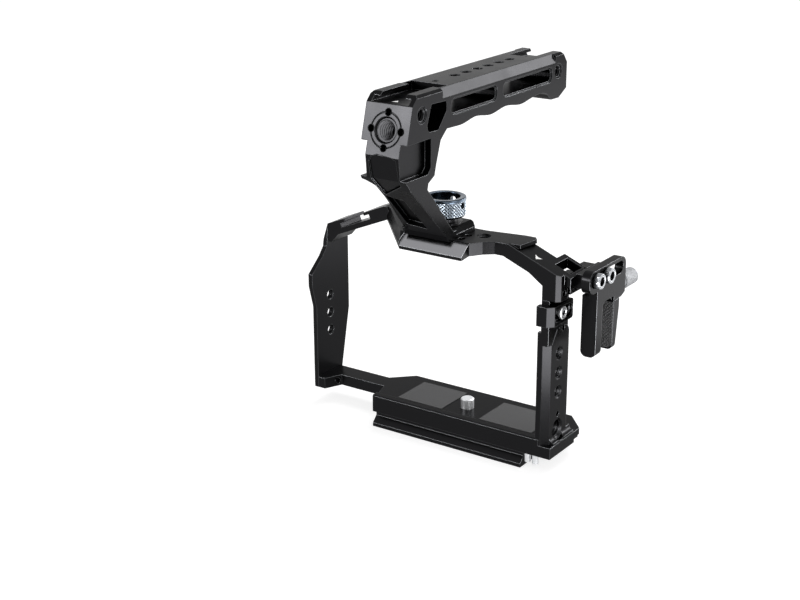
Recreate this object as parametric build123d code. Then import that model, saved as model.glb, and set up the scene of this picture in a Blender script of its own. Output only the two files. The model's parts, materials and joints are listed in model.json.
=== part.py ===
from build123d import *
import math
import os

os.makedirs("parts", exist_ok=True)

# Camera cage with a screwed-on top handle and a cable clamp. Sizes are in millimetres.
# X runs to the camera's port side, -Y to its lens, +Z up.
# The origin is on the camera screw's axis, at the underside of the dovetail rail.

# ---------------------------------------------------------------- driving sizes
# camera bay
port_side_x = 49.2          # inner face of the port-side wall
grip_side_x = -82.0         # inner face of the grip side
front_y = -19.0             # common front plane of the cage
bay_height = 91.7           # base deck to the top plate's upper face
lip_depth = 4.2             # how far the front lips reach back to the camera's front face
lip_width = 1.6             # how far the port wall's lip covers the camera's front face
lip_rise = 3.1              # the base's front lip above the deck
# base plate and rail
rail_width = 38.0
rail_height = 7.8
rail_right = 40.4
rail_left = -42.0
rail_flange = 1.8
rail_undercut = 3.0
deck_thickness = 5.5
base_right_x = 55.5
base_rear_right_y = 8.7
grip_arm_front_y = -1.0
grip_arm_rear_y = 9.2
pad_thickness = 1.0
pad_proud = 0.2
pad_ys = (-9.0, 14.0)
screw_well_radius = 8.2
screw_well_depth = 6.6
base_hole_x = 24.0
corner_cut = 9.5
# screws: nominal radii
quarter_inch_radius = 3.175
quarter_tap_radius = 2.6
three_eighths_radius = 4.76
three_eighths_tap_radius = 4.0
m3_radius = 1.5
m3_head_radius = 2.75
m3_head_height = 1.7
thread_clearance = 0.05
screw_clearance = 0.15
m3_socket = 1.2
head_sink = 0.2             # screw heads below the faces they sit in
# port-side wall
wall_thickness = 4.0
wall_depth = 18.7
wall_height = 54.2
channel_height = 15.3
strip_thickness = 3.8
wall_bevel = 3.0
foot_rise = 3.6             # the wall's spreading foot above the deck
wall_small_hole_radius = 1.3
large_hole_rise = 5.8       # 3/8 inch hole above the deck
small_hole_rise = 13.0
lap_screw_setback = 4.6     # behind the front plane
lap_screw_rise = 3.2        # above the wall's joint
lap_screw_cover = 1.5       # from the screw's tip to the outer face
accessory_pitch = 9.3
accessory_column_y = -8.7
accessory_first_height = 42.3   # topmost 1/4 inch hole above the deck
# upper wall, shoulder and top plate
upper_wall_thickness = 8.4
upper_wall_depth = 10.0
upper_bevel = 1.9
plate_thickness = 5.8
shoulder_run = 26.0
shoulder_drop = 10.5
shoulder_depth = 13.7
plate_overlap = 8.0
brow_front_y = -35.6
brow_left_x = -14.5
brow_right_x = 18.2
brow_run = 7.9              # the brow's slope, front to back
brow_drop = 4.3
diagonal_left_x = -46.5     # where the diagonal front leaves the left bar
diagonal_run = 1.7
plate_rear_y = -6.3
wing_thickness = 1.8
wing_reach = 7.0
lap_setback = 2.8           # the wall's tongue behind the front plane
lap_height = 9.0
loop_reach = 3.0            # strap loop beyond the upper wall's face
loop_rear_y = 1.8
loop_thickness = 4.6
loop_bar = 2.0
# left bar with cold shoe
bar_seam_x = -16.5
bar_lap = 8.0
bar_lap_front = -11.7
bar_lap_depth = 13.0
bar_depth = 16.5
bar_front_y = 0.2
bar_inner_x = -48.0
bar_thickness = 6.6
bar_slope = 22.5
shoe_gap = 12.5
shoe_width = 18.7
shoe_slot_height = 2.3
shoe_lip = 1.6
shoe_from_end = 17.0
corner_reach = 6.5          # the bar's outer corner on the grip side
corner_drop = 9.0
outer_slant = 11.0          # how far down the outer corner slants
# grip side, in one piece with the bar
grip_plate_thickness = 3.0
grip_plate_rear_y = 9.2
grip_plate_foot_y = -9.8
grip_plate_belly_y = -12.9
grip_hole_rise = 22.0       # lowest accessory hole above the deck
grip_hole_y = 1.4
# locking clip
clip_height = 9.2
clip_arm_thickness = 3.0
clip_reach = 19.2
clip_flange_width = 5.0
clip_bevel = 2.7
clip_slot_length = 13.6
clip_slot_width = 4.6
clip_screw_y = -11.8
clip_play = 0.1
# handle
handle_x = -3.0
knob_y = -16.3
handle_half_width = 11.7
handle_neck_half_width = 8.5
handle_rise = 68.8          # top plate to the handle's top face
handle_top_half_width = 9.8
foot_thickness = 3.9
foot_nose = 2.9             # height of the foot's blunt front edge
foot_chamfer_width = 3.7    # along the foot's right side
foot_chamfer_drop = 1.9
foot_corner = 2.5
neck_panel_depth = 0.9
leg_pocket_depth = 2.4
leg_relief_depth = 8.5      # more than the leg's thickness
neck_height = 20.3          # leg's upper end to the head's ledge
foot_front_y = -32.7
foot_rear_y = -6.8
leg_lean = 43.6             # degrees from the horizontal
head_front_y = -62.8
head_height = 19.6
head_lean = 14.7
head_bevel = 4.1
head_hole_rise = 5.3        # hole's centre above the head's ledge
ring_groove_width = 0.5
grip_depth = 18.2           # top face to the finger rest
grip_rear_y = 72.0
neck_rear_y = -37.7
finger_pitch = 25.5
finger_wave = 1.5
window_height = 5.7
window_drop = 12.0          # window floor below the handle's top
front_window_y = (-29.1, 7.3)
rear_window_y = (13.9, 57.1)
locating_radius = 7.5
locating_pin_radius = 1.6
top_hole_first_y = -8.9
top_hole_count = 6
# handle knob
knob_radius = 9.75
knob_height = 8.8
knob_lift = 7.2             # top plate to the knob's underside
knob_bore_radius = 7.0
knob_floor = 2.4
knob_collar_radius = 6.0
washer_thickness = 0.8
washer_radius = 8.0
running_clearance = 0.06
# cable clamp
clamp_face_x = 68.3         # outer face of the clamp's bracket
clamp_plate_thickness = 4.3
clamp_front_y = -11.5
clamp_rear_y = 22.9
clamp_drop = 9.1            # bracket's top below the top plate's face
clamp_band = 10.2           # height of the slotted band
clamp_height = 18.8
clamp_slot_height = 6.0
clamp_slot_front_y = -10.0
clamp_slot_rear_y = 20.4
clamp_arm_front_y = 3.2
clamp_arm_depth = 7.3
clamp_screw_spacing = 9.4
clamp_screw_y = -5.2
clamp_screw_radius = 2.5
clamp_head_radius = 3.5
clamp_head_height = 2.7
jaw_width = 7.4
jaw_front_y = -3.9
jaw_thickness = 5.4
jaw_gap = 10.8
jaw_length = 22.6
moving_jaw_extra = 1.0      # how much lower the moving jaw ends
clamp_socket = 2.3
pad_depth = 0.8
pad_edge = 0.3              # jaw left beside its pad
pad_toe = 0.7               # jaw left below its pad
pad_top = 0.9
pad_corner = 1.6
bearing_length = 4.0
guide_seat = 3.0
thumb_radius = 3.9
thumb_length = 11.0
thumb_rear_gap = 2.6
thumb_rod_radius = 1.5
guide_radius = 1.0

# ---------------------------------------------------------------- worked-out levels
deck_z = rail_height + deck_thickness
top_z = deck_z + bay_height
plate_under_z = top_z - plate_thickness
rail_front_y = -rail_width / 2
rail_rear_y = rail_width / 2
wall_outer_x = port_side_x + wall_thickness
strip_outer_x = port_side_x + strip_thickness
upper_outer_x = port_side_x + upper_wall_thickness
wall_top_z = deck_z + wall_height
upper_wall_z = wall_top_z + channel_height
shoulder_x = upper_outer_x - shoulder_run
shoulder_z = top_z - shoulder_drop
grip_outer_x = grip_side_x - grip_plate_thickness
handle_top_z = top_z + handle_rise
knob_z = top_z + knob_lift
tongue_top_z = top_z + foot_thickness


# ---------------------------------------------------------------- shape helpers
def block(x0, x1, y0, y1, z0, z1):
    return Pos((x0 + x1) / 2, (y0 + y1) / 2, (z0 + z1) / 2) * Box(x1 - x0, y1 - y0, z1 - z0)


def rod(base, direction, radius, length):
    """Cylinder from base along direction."""
    way = Vector(*direction).normalized()
    return extrude(Plane(base, z_dir=way) * Circle(radius), amount=length, dir=way)


def cone(base, direction, radius, end_radius, length):
    way = Vector(*direction).normalized()
    lower = Plane(base, z_dir=way) * Circle(radius)
    upper = Plane(Vector(*base) + way * length, z_dir=way) * Circle(end_radius)
    return loft([lower.face(), upper.face()])


def outline_xy(points, z0, z1, corner=0):
    """Plan outline between two heights."""
    shape = Plane.XY.offset(z0) * Polygon(*points)
    if corner:
        shape = fillet(shape.vertices(), corner)
    return extrude(shape, amount=z1 - z0, dir=(0, 0, 1))


def outline_yz(points, x0, x1, corner=0):
    """Side outline (y, z) between two X planes."""
    shape = Plane((x0, 0, 0), x_dir=(0, 1, 0), z_dir=(1, 0, 0)) * Polygon(*points)
    if corner:
        shape = fillet(shape.vertices(), corner)
    return extrude(shape, amount=x1 - x0, dir=(1, 0, 0))


def outline_xz(points, y0, y1, corner=0):
    """Front outline (x, z) between two Y planes."""
    shape = Plane((0, y0, 0), x_dir=(1, 0, 0), z_dir=(0, -1, 0)) * Polygon(*points)
    if corner:
        shape = fillet(shape.vertices(), corner)
    return extrude(shape, amount=y1 - y0, dir=(0, 1, 0))


def slot_along_y(x0, x1, y0, y1, z, width):
    """Round-ended slot that is cut through along X."""
    straight = block(x0, x1, y0 + width / 2, y1 - width / 2, z - width / 2, z + width / 2)
    ends = [rod((x0, y, z), (1, 0, 0), width / 2, x1 - x0) for y in (y0 + width / 2, y1 - width / 2)]
    return straight + ends


def flat_screw(tip, direction, radius, length, head_radius, head_height, socket):
    """Socket screw from its tip to the top of its head."""
    way = Vector(*direction).normalized()
    seat = Vector(*tip) + way * (length - head_height)
    body = rod(tip, direction, radius, length - head_height + 0.01)
    head = rod(tuple(seat), direction, head_radius, head_height)
    recess = Vector(*tip) + way * (length - head_height * 0.6)
    key = Plane(recess, z_dir=way) * RegularPolygon(socket, 6)
    return body + head - extrude(key, amount=head_height, dir=way)


def save(name, shape):
    shape.label = name
    export_step(shape, f"parts/{name}.step")


# ---------------------------------------------------------------- base plate
wall_front_y = front_y
wall_rear_y = front_y + wall_depth
base_screw_x = port_side_x + wall_thickness / 2
base_screw_ys = (wall_front_y + 3.7, wall_rear_y - 2.2)
grip_screw_ys = (grip_plate_foot_y / 3, grip_arm_rear_y - 3.4)
grip_screw_z = rail_height + deck_thickness / 2
pad_areas = ((-34.0, -9.0), (12.0, 40.0))


def make_base_plate():
    plan = [
        (rail_left, rail_front_y),
        (base_right_x, rail_front_y),
        (base_right_x, base_rear_right_y),
        (base_right_x - corner_cut, rail_rear_y),
        (rail_left, rail_rear_y),
        (rail_left - 10.0, grip_arm_rear_y),
        (grip_side_x, grip_arm_rear_y),
        (grip_side_x, grip_plate_foot_y),
        (grip_side_x + 4.0, grip_plate_foot_y),
        (grip_side_x + 8.0, grip_arm_front_y),
        (rail_left - 6.0, grip_arm_front_y),
    ]
    plate = outline_xy(plan, rail_height, deck_z)
    lip = outline_yz(
        [
            (rail_front_y, deck_z - 1),
            (rail_front_y, deck_z + lip_rise),
            (rail_front_y + lip_depth, deck_z + lip_rise),
            (rail_front_y + lip_depth, deck_z - 1),
        ],
        rail_left,
        port_side_x,
    )
    gullet = rail_front_y + rail_undercut
    rear_gullet = rail_rear_y - rail_undercut
    rail_profile = [
        (rail_front_y, 0),
        (rail_rear_y, 0),
        (rail_rear_y, rail_flange),
        (rear_gullet, rail_flange + rail_undercut),
        (rear_gullet, rail_height + 0.5),
        (gullet, rail_height + 0.5),
        (gullet, rail_flange + rail_undercut),
        (rail_front_y, rail_flange),
    ]
    rail = outline_yz(rail_profile, rail_left, rail_right)
    body = plate + rail + lip
    edges = body.edges().filter_by(Axis.X).filter_by(lambda e: e.length > 60)
    body = chamfer(edges.group_by(Axis.Z)[-1], 0.5)
    screw_way = rod((0, 0, -1), (0, 0, 1), quarter_inch_radius + screw_clearance, deck_z + 2)
    screw_well = rod((0, 0, -1), (0, 0, 1), screw_well_radius, screw_well_depth + 1)
    body -= screw_way + screw_well
    for x in (-base_hole_x, base_hole_x):
        body -= rod((x, 0, -1), (0, 0, 1), quarter_tap_radius, deck_z - 2)
        body -= cone((x, 0, -0.01), (0, 0, 1), quarter_inch_radius + 0.2, quarter_tap_radius, 0.8)
    for x0, x1 in pad_areas:
        body -= block(x0, x1, *pad_ys, deck_z - pad_thickness + pad_proud, deck_z + 1)
    for y in base_screw_ys:
        body -= rod((base_screw_x, y, 0), (0, 0, 1), m3_radius + screw_clearance, deck_z + 1)
        body -= rod((base_screw_x, y, 0), (0, 0, 1), m3_head_radius + screw_clearance,
                    rail_height + m3_head_height)
    for y in grip_screw_ys:
        body -= rod((grip_side_x - 1, y, grip_screw_z), (1, 0, 0), m3_radius, 9)
    for pin_x in stop_pin_xs:
        body -= rod((pin_x, stop_pin_y, 0), (0, 0, 1), stop_pin_radius, deck_z - 2)
    notch = outline_xy(
        [
            (base_right_x + 1, rail_rear_y + 1),
            (base_right_x + 1, base_rear_right_y - 6.1),
            (base_right_x - 1.6, base_rear_right_y - 3),
            (base_right_x - 1.6, rail_rear_y + 1),
        ],
        rail_height - 1,
        rail_height + 2.4,
    )
    return body - notch


stop_pin_radius = 1.5
stop_pin_xs = (rail_right + 2.2, rail_right + 6.2)
stop_pin_y = rail_front_y + 3.0


def make_stop_pins():
    return [rod((x, stop_pin_y, rail_height - 5.0), (0, 0, 1), stop_pin_radius,
                5.0 + deck_thickness - 2.5) for x in stop_pin_xs]


def make_base_pads():
    low = deck_z - pad_thickness + pad_proud
    return [block(x0, x1, *pad_ys, low, deck_z + pad_proud) for x0, x1 in pad_areas]


camera_screw_engagement = 4.9
camera_head_radius = 7.6
camera_head_z = 1.4
camera_head_height = 5.0


def make_camera_screw():
    head = rod((0, 0, camera_head_z), (0, 0, 1), camera_head_radius, camera_head_height)
    shank_length = deck_z + camera_screw_engagement - camera_head_z
    shank = rod((0, 0, camera_head_z), (0, 0, 1), quarter_inch_radius, shank_length)
    shank = chamfer(shank.edges().filter_by(GeomType.CIRCLE).sort_by(Axis.Z)[-1], 0.5)
    slot = block(-camera_head_radius, camera_head_radius, -0.9, 0.9, 0, camera_head_z + 1.6)
    key = extrude(Plane.XY * RegularPolygon(2.4, 6), amount=camera_head_z + 2.6, dir=(0, 0, 1))
    return head + shank - slot - key


# ---------------------------------------------------------------- port-side wall
large_hole_z = deck_z + large_hole_rise
small_hole_z = deck_z + small_hole_rise
accessory_zs = [deck_z + accessory_first_height - i * accessory_pitch for i in range(3)]
lap_screw_y = front_y + lap_screw_setback
lap_screw_z = upper_wall_z + lap_screw_rise


def make_port_side_wall():
    lip_rear_y = front_y + 1.8
    plan = [
        (port_side_x - lip_width, front_y),
        (wall_outer_x - wall_bevel, front_y),
        (wall_outer_x, front_y + wall_bevel),
        (wall_outer_x, wall_rear_y),
        (port_side_x, wall_rear_y),
        (port_side_x, lip_rear_y),
        (port_side_x - lip_width, lip_rear_y),
    ]
    wall = outline_xy(plan, deck_z, wall_top_z)
    # the lip stops above the base's own front lip
    wall -= block(port_side_x - lip_width - 1, port_side_x, front_y - 1, lip_rear_y + 1,
                  deck_z - 1, deck_z + lip_rise)
    rear_corner = wall.edges().filter_by(Axis.X).group_by(Axis.Z)[-1].sort_by(Axis.Y)[-1]
    wall = fillet(rear_corner, 4.0)
    # foot that spreads to the base's side, with a hollow fillet above it
    spread = base_right_x - wall_outer_x
    foot = block(wall_outer_x - 1, base_right_x, front_y + 3.4, wall_rear_y + 3, deck_z, deck_z + foot_rise)
    foot -= rod((base_right_x, front_y, deck_z + foot_rise), (0, 1, 0), spread, wall_depth + 8)
    foot += block(port_side_x, wall_outer_x, wall_rear_y - 1, wall_rear_y + 3, deck_z, deck_z + foot_rise)
    # recessed strip that the clip lies on, with a tongue into the upper wall
    strip = block(port_side_x, strip_outer_x, front_y, wall_rear_y - 1, wall_top_z - 6, upper_wall_z)
    tongue = block(port_side_x, strip_outer_x, front_y + lap_setback, front_y + upper_wall_depth,
                   upper_wall_z - 1, upper_wall_z + lap_height)
    body = wall + foot + strip + tongue
    # scoop that leads from the wall to the clip at the front
    scoop = outline_yz(
        [
            (front_y - 1, wall_top_z + 1),
            (front_y - 1, wall_top_z - 9),
            (front_y + 3.5, wall_top_z - 6),
            (front_y + 8.5, wall_top_z + 1),
        ],
        strip_outer_x,
        wall_outer_x + 1,
    )
    body -= scoop
    for z in accessory_zs:
        body -= rod((port_side_x - 1, accessory_column_y, z), (1, 0, 0), quarter_tap_radius, 8)
        body -= cone((wall_outer_x + 0.01, accessory_column_y, z), (-1, 0, 0),
                     quarter_inch_radius + 0.1, quarter_tap_radius, 0.6)
    body -= rod((port_side_x - 1, accessory_column_y, large_hole_z), (1, 0, 0),
                three_eighths_tap_radius, wall_thickness + 1)
    body -= cone((wall_outer_x + 0.01, accessory_column_y, large_hole_z), (-1, 0, 0),
                 three_eighths_radius, three_eighths_tap_radius, 0.7)
    body -= rod((wall_outer_x, accessory_column_y, large_hole_z), (1, 0, 0), three_eighths_radius + 0.4, 4)
    for y, z in ((accessory_column_y, small_hole_z), (accessory_column_y + 2.9, wall_top_z - 1.0)):
        body -= rod((port_side_x - 1, y, z), (1, 0, 0), wall_small_hole_radius, 8)
    body -= rod((port_side_x - 1, clip_screw_y, clip_z), (1, 0, 0), m3_radius, 8)
    body -= rod((port_side_x - 1, lap_screw_y, lap_screw_z), (1, 0, 0), m3_radius + screw_clearance, 8)
    body -= lap_head_well()
    for y in base_screw_ys:
        body -= rod((base_screw_x, y, deck_z - 1), (0, 0, 1), m3_radius, 9)
    return body


def lap_head_well():
    """Counterbore inside the cage for the lap screw's head."""
    return rod((port_side_x - 1, lap_screw_y, lap_screw_z), (1, 0, 0), m3_head_radius + screw_clearance,
               1 + head_sink + m3_head_height)


clip_z = wall_top_z + 4.0 + clip_height / 2


# ---------------------------------------------------------------- top frame
hole_top = (handle_x + 19.5, knob_y + 2.1)
side_locating = ((handle_x + 13.4, knob_y - 7.0), (handle_x + 13.4, knob_y - 1.2))
bar_lap_ys = (knob_y + bar_lap_front, knob_y + bar_lap_front + bar_lap_depth)
slope_ratio = shoulder_drop / shoulder_run


def shoulder_top(x):
    """Height of the sloping shoulder above a given x."""
    return top_z - (x - shoulder_x) * slope_ratio


def make_front_plate():
    """The whole frame's level plate, with the sloping brow and the diagonal along its front."""
    rear_y = bar_front_y + bar_depth
    plan = [
        (bar_inner_x, bar_front_y),
        (diagonal_left_x, bar_front_y),
        (brow_left_x, brow_front_y),
        (brow_right_x, brow_front_y),
        (brow_right_x - 1.0, brow_front_y + 7.6),
        (brow_right_x + 2.6, front_y - 3.6),
        (brow_right_x + 6.8, front_y),
        (shoulder_x, front_y),
        (shoulder_x, plate_rear_y + 3.0),
        (handle_x + 16.0, plate_rear_y),
        (bar_inner_x + 4.0 + rear_y - plate_rear_y, plate_rear_y),
        (bar_inner_x + 4.0, rear_y),
        (bar_inner_x, rear_y),
    ]
    plate = outline_xy(plan, plate_under_z, top_z)
    low = top_z - brow_drop
    ratio = brow_drop / brow_run
    plate -= outline_yz(
        [
            (brow_front_y - 2, low - 2 * ratio),
            (brow_front_y + brow_run + 2, top_z + 2 * ratio),
            (brow_front_y - 2, top_z + 2 * ratio),
        ],
        brow_left_x - 12,
        brow_right_x + 8,
    )
    edge = Vector(brow_left_x - diagonal_left_x, brow_front_y - bar_front_y, 0)
    along = edge.normalized()
    outward = Vector(along.Y, -along.X, 0)
    start = Vector(diagonal_left_x, bar_front_y, 0)
    section = Plane(start, x_dir=outward, z_dir=along * -1) * Polygon(
        (diagonal_run * 0.5, low - brow_drop * 0.5),
        (-diagonal_run * 1.3, top_z + brow_drop * 0.3),
        (diagonal_run * 0.5, top_z + brow_drop * 0.3),
    )
    return plate - extrude(section, amount=edge.length + 6, dir=tuple(along))


def make_top_frame():
    inner_x = port_side_x + 0.4
    shoulder = outline_xz(
        [
            (shoulder_x - plate_overlap, top_z),
            (shoulder_x, top_z),
            (upper_outer_x, shoulder_z),
            (upper_outer_x, upper_wall_z),
            (port_side_x, upper_wall_z),
            (port_side_x, shoulder_z - 5.3),
            (inner_x - 7.3, shoulder_z - 0.5),
            (shoulder_x - 2.4, plate_under_z),
            (shoulder_x - plate_overlap, plate_under_z),
        ],
        front_y,
        front_y + shoulder_depth,
    )
    # the wall below the shoulder is less deep than the shoulder
    shoulder -= block(port_side_x - 1, upper_outer_x + 1, front_y + upper_wall_depth,
                      front_y + shoulder_depth + 1, upper_wall_z - 1, shoulder_z - 4.0)
    front_corner = shoulder.edges().filter_by(Axis.Z).group_by(Axis.Y)[0].sort_by(Axis.X)[-1]
    shoulder = chamfer(front_corner, upper_bevel)
    plate = make_front_plate() - block(bar_inner_x - 1, bar_seam_x, brow_front_y - 1,
                                       bar_front_y + bar_depth + 1, plate_under_z - 1, top_z + 1)
    wing = outline_xy(
        [
            (shoulder_x - 1, front_y + 1.6),
            (shoulder_x + wing_reach - 1.6, front_y + 1.6),
            (shoulder_x + wing_reach, plate_rear_y + 0.6),
            (shoulder_x + wing_reach - 2, plate_rear_y + 3.0),
            (shoulder_x - 1, plate_rear_y + 3.0),
        ],
        top_z - wing_thickness,
        top_z,
    )
    # strap loop: a frame that goes on down the shoulder's slope
    loop_left = port_side_x - 0.7
    loop_right = upper_outer_x + loop_reach
    loop = outline_xz(
        [
            (loop_left, shoulder_top(loop_left)),
            (loop_right, shoulder_top(loop_right)),
            (loop_right, shoulder_top(loop_right) - loop_thickness),
            (loop_left, shoulder_top(loop_left) - loop_thickness),
        ],
        front_y + 4.4,
        loop_rear_y,
    )
    corner = loop.edges().filter_by(Axis.Z).sort_by(Axis.Y)[-2:].sort_by(Axis.X)[-1]
    loop = chamfer(corner, 3.2)
    opening = block(loop_left + loop_bar + 0.5, loop_right - loop_bar, front_y + 7.7,
                    loop_rear_y - loop_bar, shoulder_z - 12, top_z + 1)
    body = plate + shoulder + wing + loop
    body -= opening
    # pocket for the port wall's tongue
    body -= block(port_side_x - 1, strip_outer_x, front_y + lap_setback,
                  front_y + upper_wall_depth + 1, upper_wall_z - 1, upper_wall_z + lap_height)
    body -= rod((port_side_x - 2, lap_screw_y, lap_screw_z), (1, 0, 0), m3_radius, 14)
    body -= lap_head_well()
    # screw ways
    body -= rod((handle_x, knob_y, plate_under_z - 1), (0, 0, 1),
                three_eighths_radius + thread_clearance, plate_thickness + 2)
    for sign in (-1, 1):
        body -= rod((handle_x, knob_y + sign * locating_radius, top_z - 3.0), (0, 0, 1),
                    locating_pin_radius + thread_clearance, 4)
    for x, y in side_locating:
        body -= rod((x, y, top_z - 3.0), (0, 0, 1), locating_pin_radius, 4)
    body -= rod((*hole_top, plate_under_z - 1), (0, 0, 1), quarter_tap_radius, plate_thickness + 2)
    body -= cone((*hole_top, top_z + 0.01), (0, 0, -1), quarter_inch_radius + 0.2,
                 quarter_tap_radius, 0.7)
    # lap for the left bar's tongue, with its two screws from below
    body -= block(bar_seam_x - 1, bar_seam_x + bar_lap, bar_lap_ys[0], bar_lap_ys[1],
                  plate_under_z - 1, plate_under_z + lap_tongue)
    for y in bar_screw_ys:
        body -= rod((bar_screw_x, y, plate_under_z), (0, 0, 1), m3_radius, plate_thickness - 1.2)
    # seat for the cable clamp's arm, behind the upper wall
    seat = block(port_side_x + 0.4, clamp_seat_x, front_y + upper_wall_depth - 0.5, clamp_arm_front_y,
                 clamp_foot_z, loop_under_z + 0.8)
    for y in clamp_foot_screw_ys:
        seat -= rod((port_side_x - 1, y, clamp_foot_screw_z), (1, 0, 0), m3_radius, 14)
    return body + seat - block(port_side_x - 1, strip_outer_x, front_y + lap_setback,
                               front_y + upper_wall_depth, upper_wall_z - 1, upper_wall_z + lap_height)


# ---------------------------------------------------------------- left bar
lap_tongue = 2.6
bar_screw_x = bar_seam_x + bar_lap / 2
bar_screw_ys = (knob_y - 8.4, knob_y - 2.0)
bar_run = bar_inner_x - grip_side_x
bar_end_z = top_z - bar_run * math.tan(math.radians(bar_slope))
bar_length = bar_run / math.cos(math.radians(bar_slope))
bar_plane = Plane((grip_side_x, bar_front_y, bar_end_z), x_dir=(math.cos(math.radians(bar_slope)), 0,
                  math.sin(math.radians(bar_slope))), z_dir=(0, -1, 0))


def on_bar(points, depth):
    """Outline in the tilted bar's own frame, carried back along Y."""
    return extrude(bar_plane * Polygon(*points), amount=depth, dir=(0, 1, 0))


def make_left_bar():
    arm = make_front_plate() - block(bar_seam_x, shoulder_x + 1, brow_front_y - 1, front_y + wall_depth,
                                     plate_under_z - 1, top_z + 1)
    shoe_at = shoe_from_end
    half_gap = shoe_gap / 2
    half_slot = shoe_width / 2
    bar = on_bar([(0, 0), (bar_length + 1.5, 0), (bar_length + 1.5, -bar_thickness),
                  (0, -bar_thickness)], bar_depth)
    bar -= block(bar_inner_x, bar_inner_x + 20, bar_front_y - 1, bar_front_y + bar_depth + 1, top_z,
                 top_z + 10)
    shoe = on_bar(
        [
            (shoe_at - half_gap, 1),
            (shoe_at + half_gap, 1),
            (shoe_at + half_gap, -shoe_lip),
            (shoe_at + half_slot, -shoe_lip),
            (shoe_at + half_slot, -shoe_lip - shoe_slot_height),
            (shoe_at - half_slot, -shoe_lip - shoe_slot_height),
            (shoe_at - half_slot, -shoe_lip),
            (shoe_at - half_gap, -shoe_lip),
        ],
        bar_depth + 2,
    )
    # inner side of the outer corner, above the grip side
    corner = outline_xz(
        [
            (grip_side_x, bar_end_z),
            (grip_side_x + corner_reach, bar_end_z + corner_reach * math.tan(math.radians(bar_slope))),
            (grip_side_x + corner_reach, bar_end_z - corner_drop / 2),
            (grip_side_x + grip_plate_thickness - 0.4, bar_end_z - corner_drop),
            (grip_side_x, bar_end_z - corner_drop),
        ],
        bar_front_y,
        bar_front_y + bar_depth,
    )
    tongue = block(bar_seam_x - 0.5, bar_seam_x + bar_lap, bar_lap_ys[0], bar_lap_ys[1], plate_under_z,
                   plate_under_z + lap_tongue)
    body = arm + bar + corner + tongue + make_grip_side() - Pos(0, -1, 0) * shoe
    for y in bar_screw_ys:
        body -= rod((bar_screw_x, y, plate_under_z - 1), (0, 0, 1), m3_radius + screw_clearance, 5)
    return body


def make_grip_side():
    """The bar's own upright at the hand grip, down to the base."""
    side = outline_yz(
        [
            (grip_plate_foot_y, rail_height),
            (grip_plate_rear_y, rail_height),
            (bar_front_y + bar_depth, deck_z + 30),
            (bar_front_y + bar_depth, bar_end_z),
            (bar_front_y, bar_end_z),
            (bar_front_y - 0.9, bar_end_z - 11.5),
            (bar_front_y - 4.2, bar_end_z - 15.5),
            (grip_plate_belly_y, bar_end_z - 23.0),
            (grip_plate_belly_y, bar_end_z - 29.5),
            (grip_plate_foot_y, bar_end_z - 41.0),
        ],
        grip_outer_x,
        grip_side_x,
    )
    outer_edges = side.faces().sort_by(Axis.X)[0].edges()
    side = chamfer(outer_edges, 0.8)
    side -= outline_xz(
        [
            (grip_outer_x - 1, bar_end_z + 1),
            (grip_side_x, bar_end_z + 1),
            (grip_side_x, bar_end_z),
            (grip_outer_x, bar_end_z - outer_slant),
            (grip_outer_x - 1, bar_end_z - outer_slant),
        ],
        bar_front_y - 6,
        bar_front_y + bar_depth + 1,
    )
    for y in grip_screw_ys:
        side -= rod((grip_outer_x - 1, y, grip_screw_z), (1, 0, 0), m3_radius + screw_clearance, 6)
        side -= rod((grip_outer_x - 1, y, grip_screw_z), (1, 0, 0), m3_head_radius + screw_clearance,
                    1 + m3_head_height)
    for i in range(3):
        side -= rod((grip_outer_x - 1, grip_hole_y, deck_z + grip_hole_rise + i * accessory_pitch),
                    (1, 0, 0), quarter_tap_radius, 6)
    return side


# ---------------------------------------------------------------- frame screws
def make_frame_screws():
    screws = []
    for y in base_screw_ys:
        screws.append(flat_screw((base_screw_x, y, deck_z + 7), (0, 0, -1), m3_radius,
                                 7 + deck_thickness, m3_head_radius, m3_head_height, m3_socket))
    for y in bar_screw_ys:
        screws.append(flat_screw((bar_screw_x, y, plate_under_z + 4.2), (0, 0, -1), m3_radius,
                                 4.2 + m3_head_height, m3_head_radius, m3_head_height, m3_socket))
    for y in grip_screw_ys:
        screws.append(flat_screw((grip_side_x + 7, y, grip_screw_z), (-1, 0, 0), m3_radius,
                                 7 + grip_plate_thickness, m3_head_radius, m3_head_height, m3_socket))
    lap_tip_x = upper_outer_x - lap_screw_cover
    screws.append(flat_screw((lap_tip_x, lap_screw_y, lap_screw_z), (-1, 0, 0), m3_radius,
                             lap_tip_x - port_side_x - head_sink, m3_head_radius, m3_head_height, m3_socket))
    return screws


# ---------------------------------------------------------------- locking clip
clip_screw_head_height = 1.6
clip_screw_head_radius = 2.9
clip_arm_x = (strip_outer_x + clip_play, strip_outer_x + clip_play + clip_arm_thickness)


def make_locking_clip():
    front = front_y - clip_arm_thickness - clip_play
    inner = clip_arm_x[1] - clip_flange_width - clip_bevel
    plan = [
        (inner, front),
        (clip_arm_x[1] - clip_bevel, front),
        (clip_arm_x[1], front + clip_bevel),
        (clip_arm_x[1], front + clip_reach),
        (clip_arm_x[0], front + clip_reach),
        (clip_arm_x[0], front_y - clip_play),
        (inner, front_y - clip_play),
    ]
    body = outline_xy(plan, clip_z - clip_height / 2, clip_z + clip_height / 2)
    ends = body.edges().filter_by(Axis.X).sort_by(Axis.Y)[-2:]
    body = fillet(ends, 1.2)
    slot_rear = clip_screw_y + clip_slot_length / 2 + 0.3
    slot_front = slot_rear - clip_slot_length
    body -= slot_along_y(clip_arm_x[0] - 1, clip_arm_x[1] + 1, slot_front, slot_rear, clip_z,
                         clip_slot_width)
    body -= slot_along_y(clip_arm_x[1] - 1.3, clip_arm_x[1] + 1, slot_front - 1, slot_rear + 1, clip_z,
                         clip_slot_width + 1.8)
    return body


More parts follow.
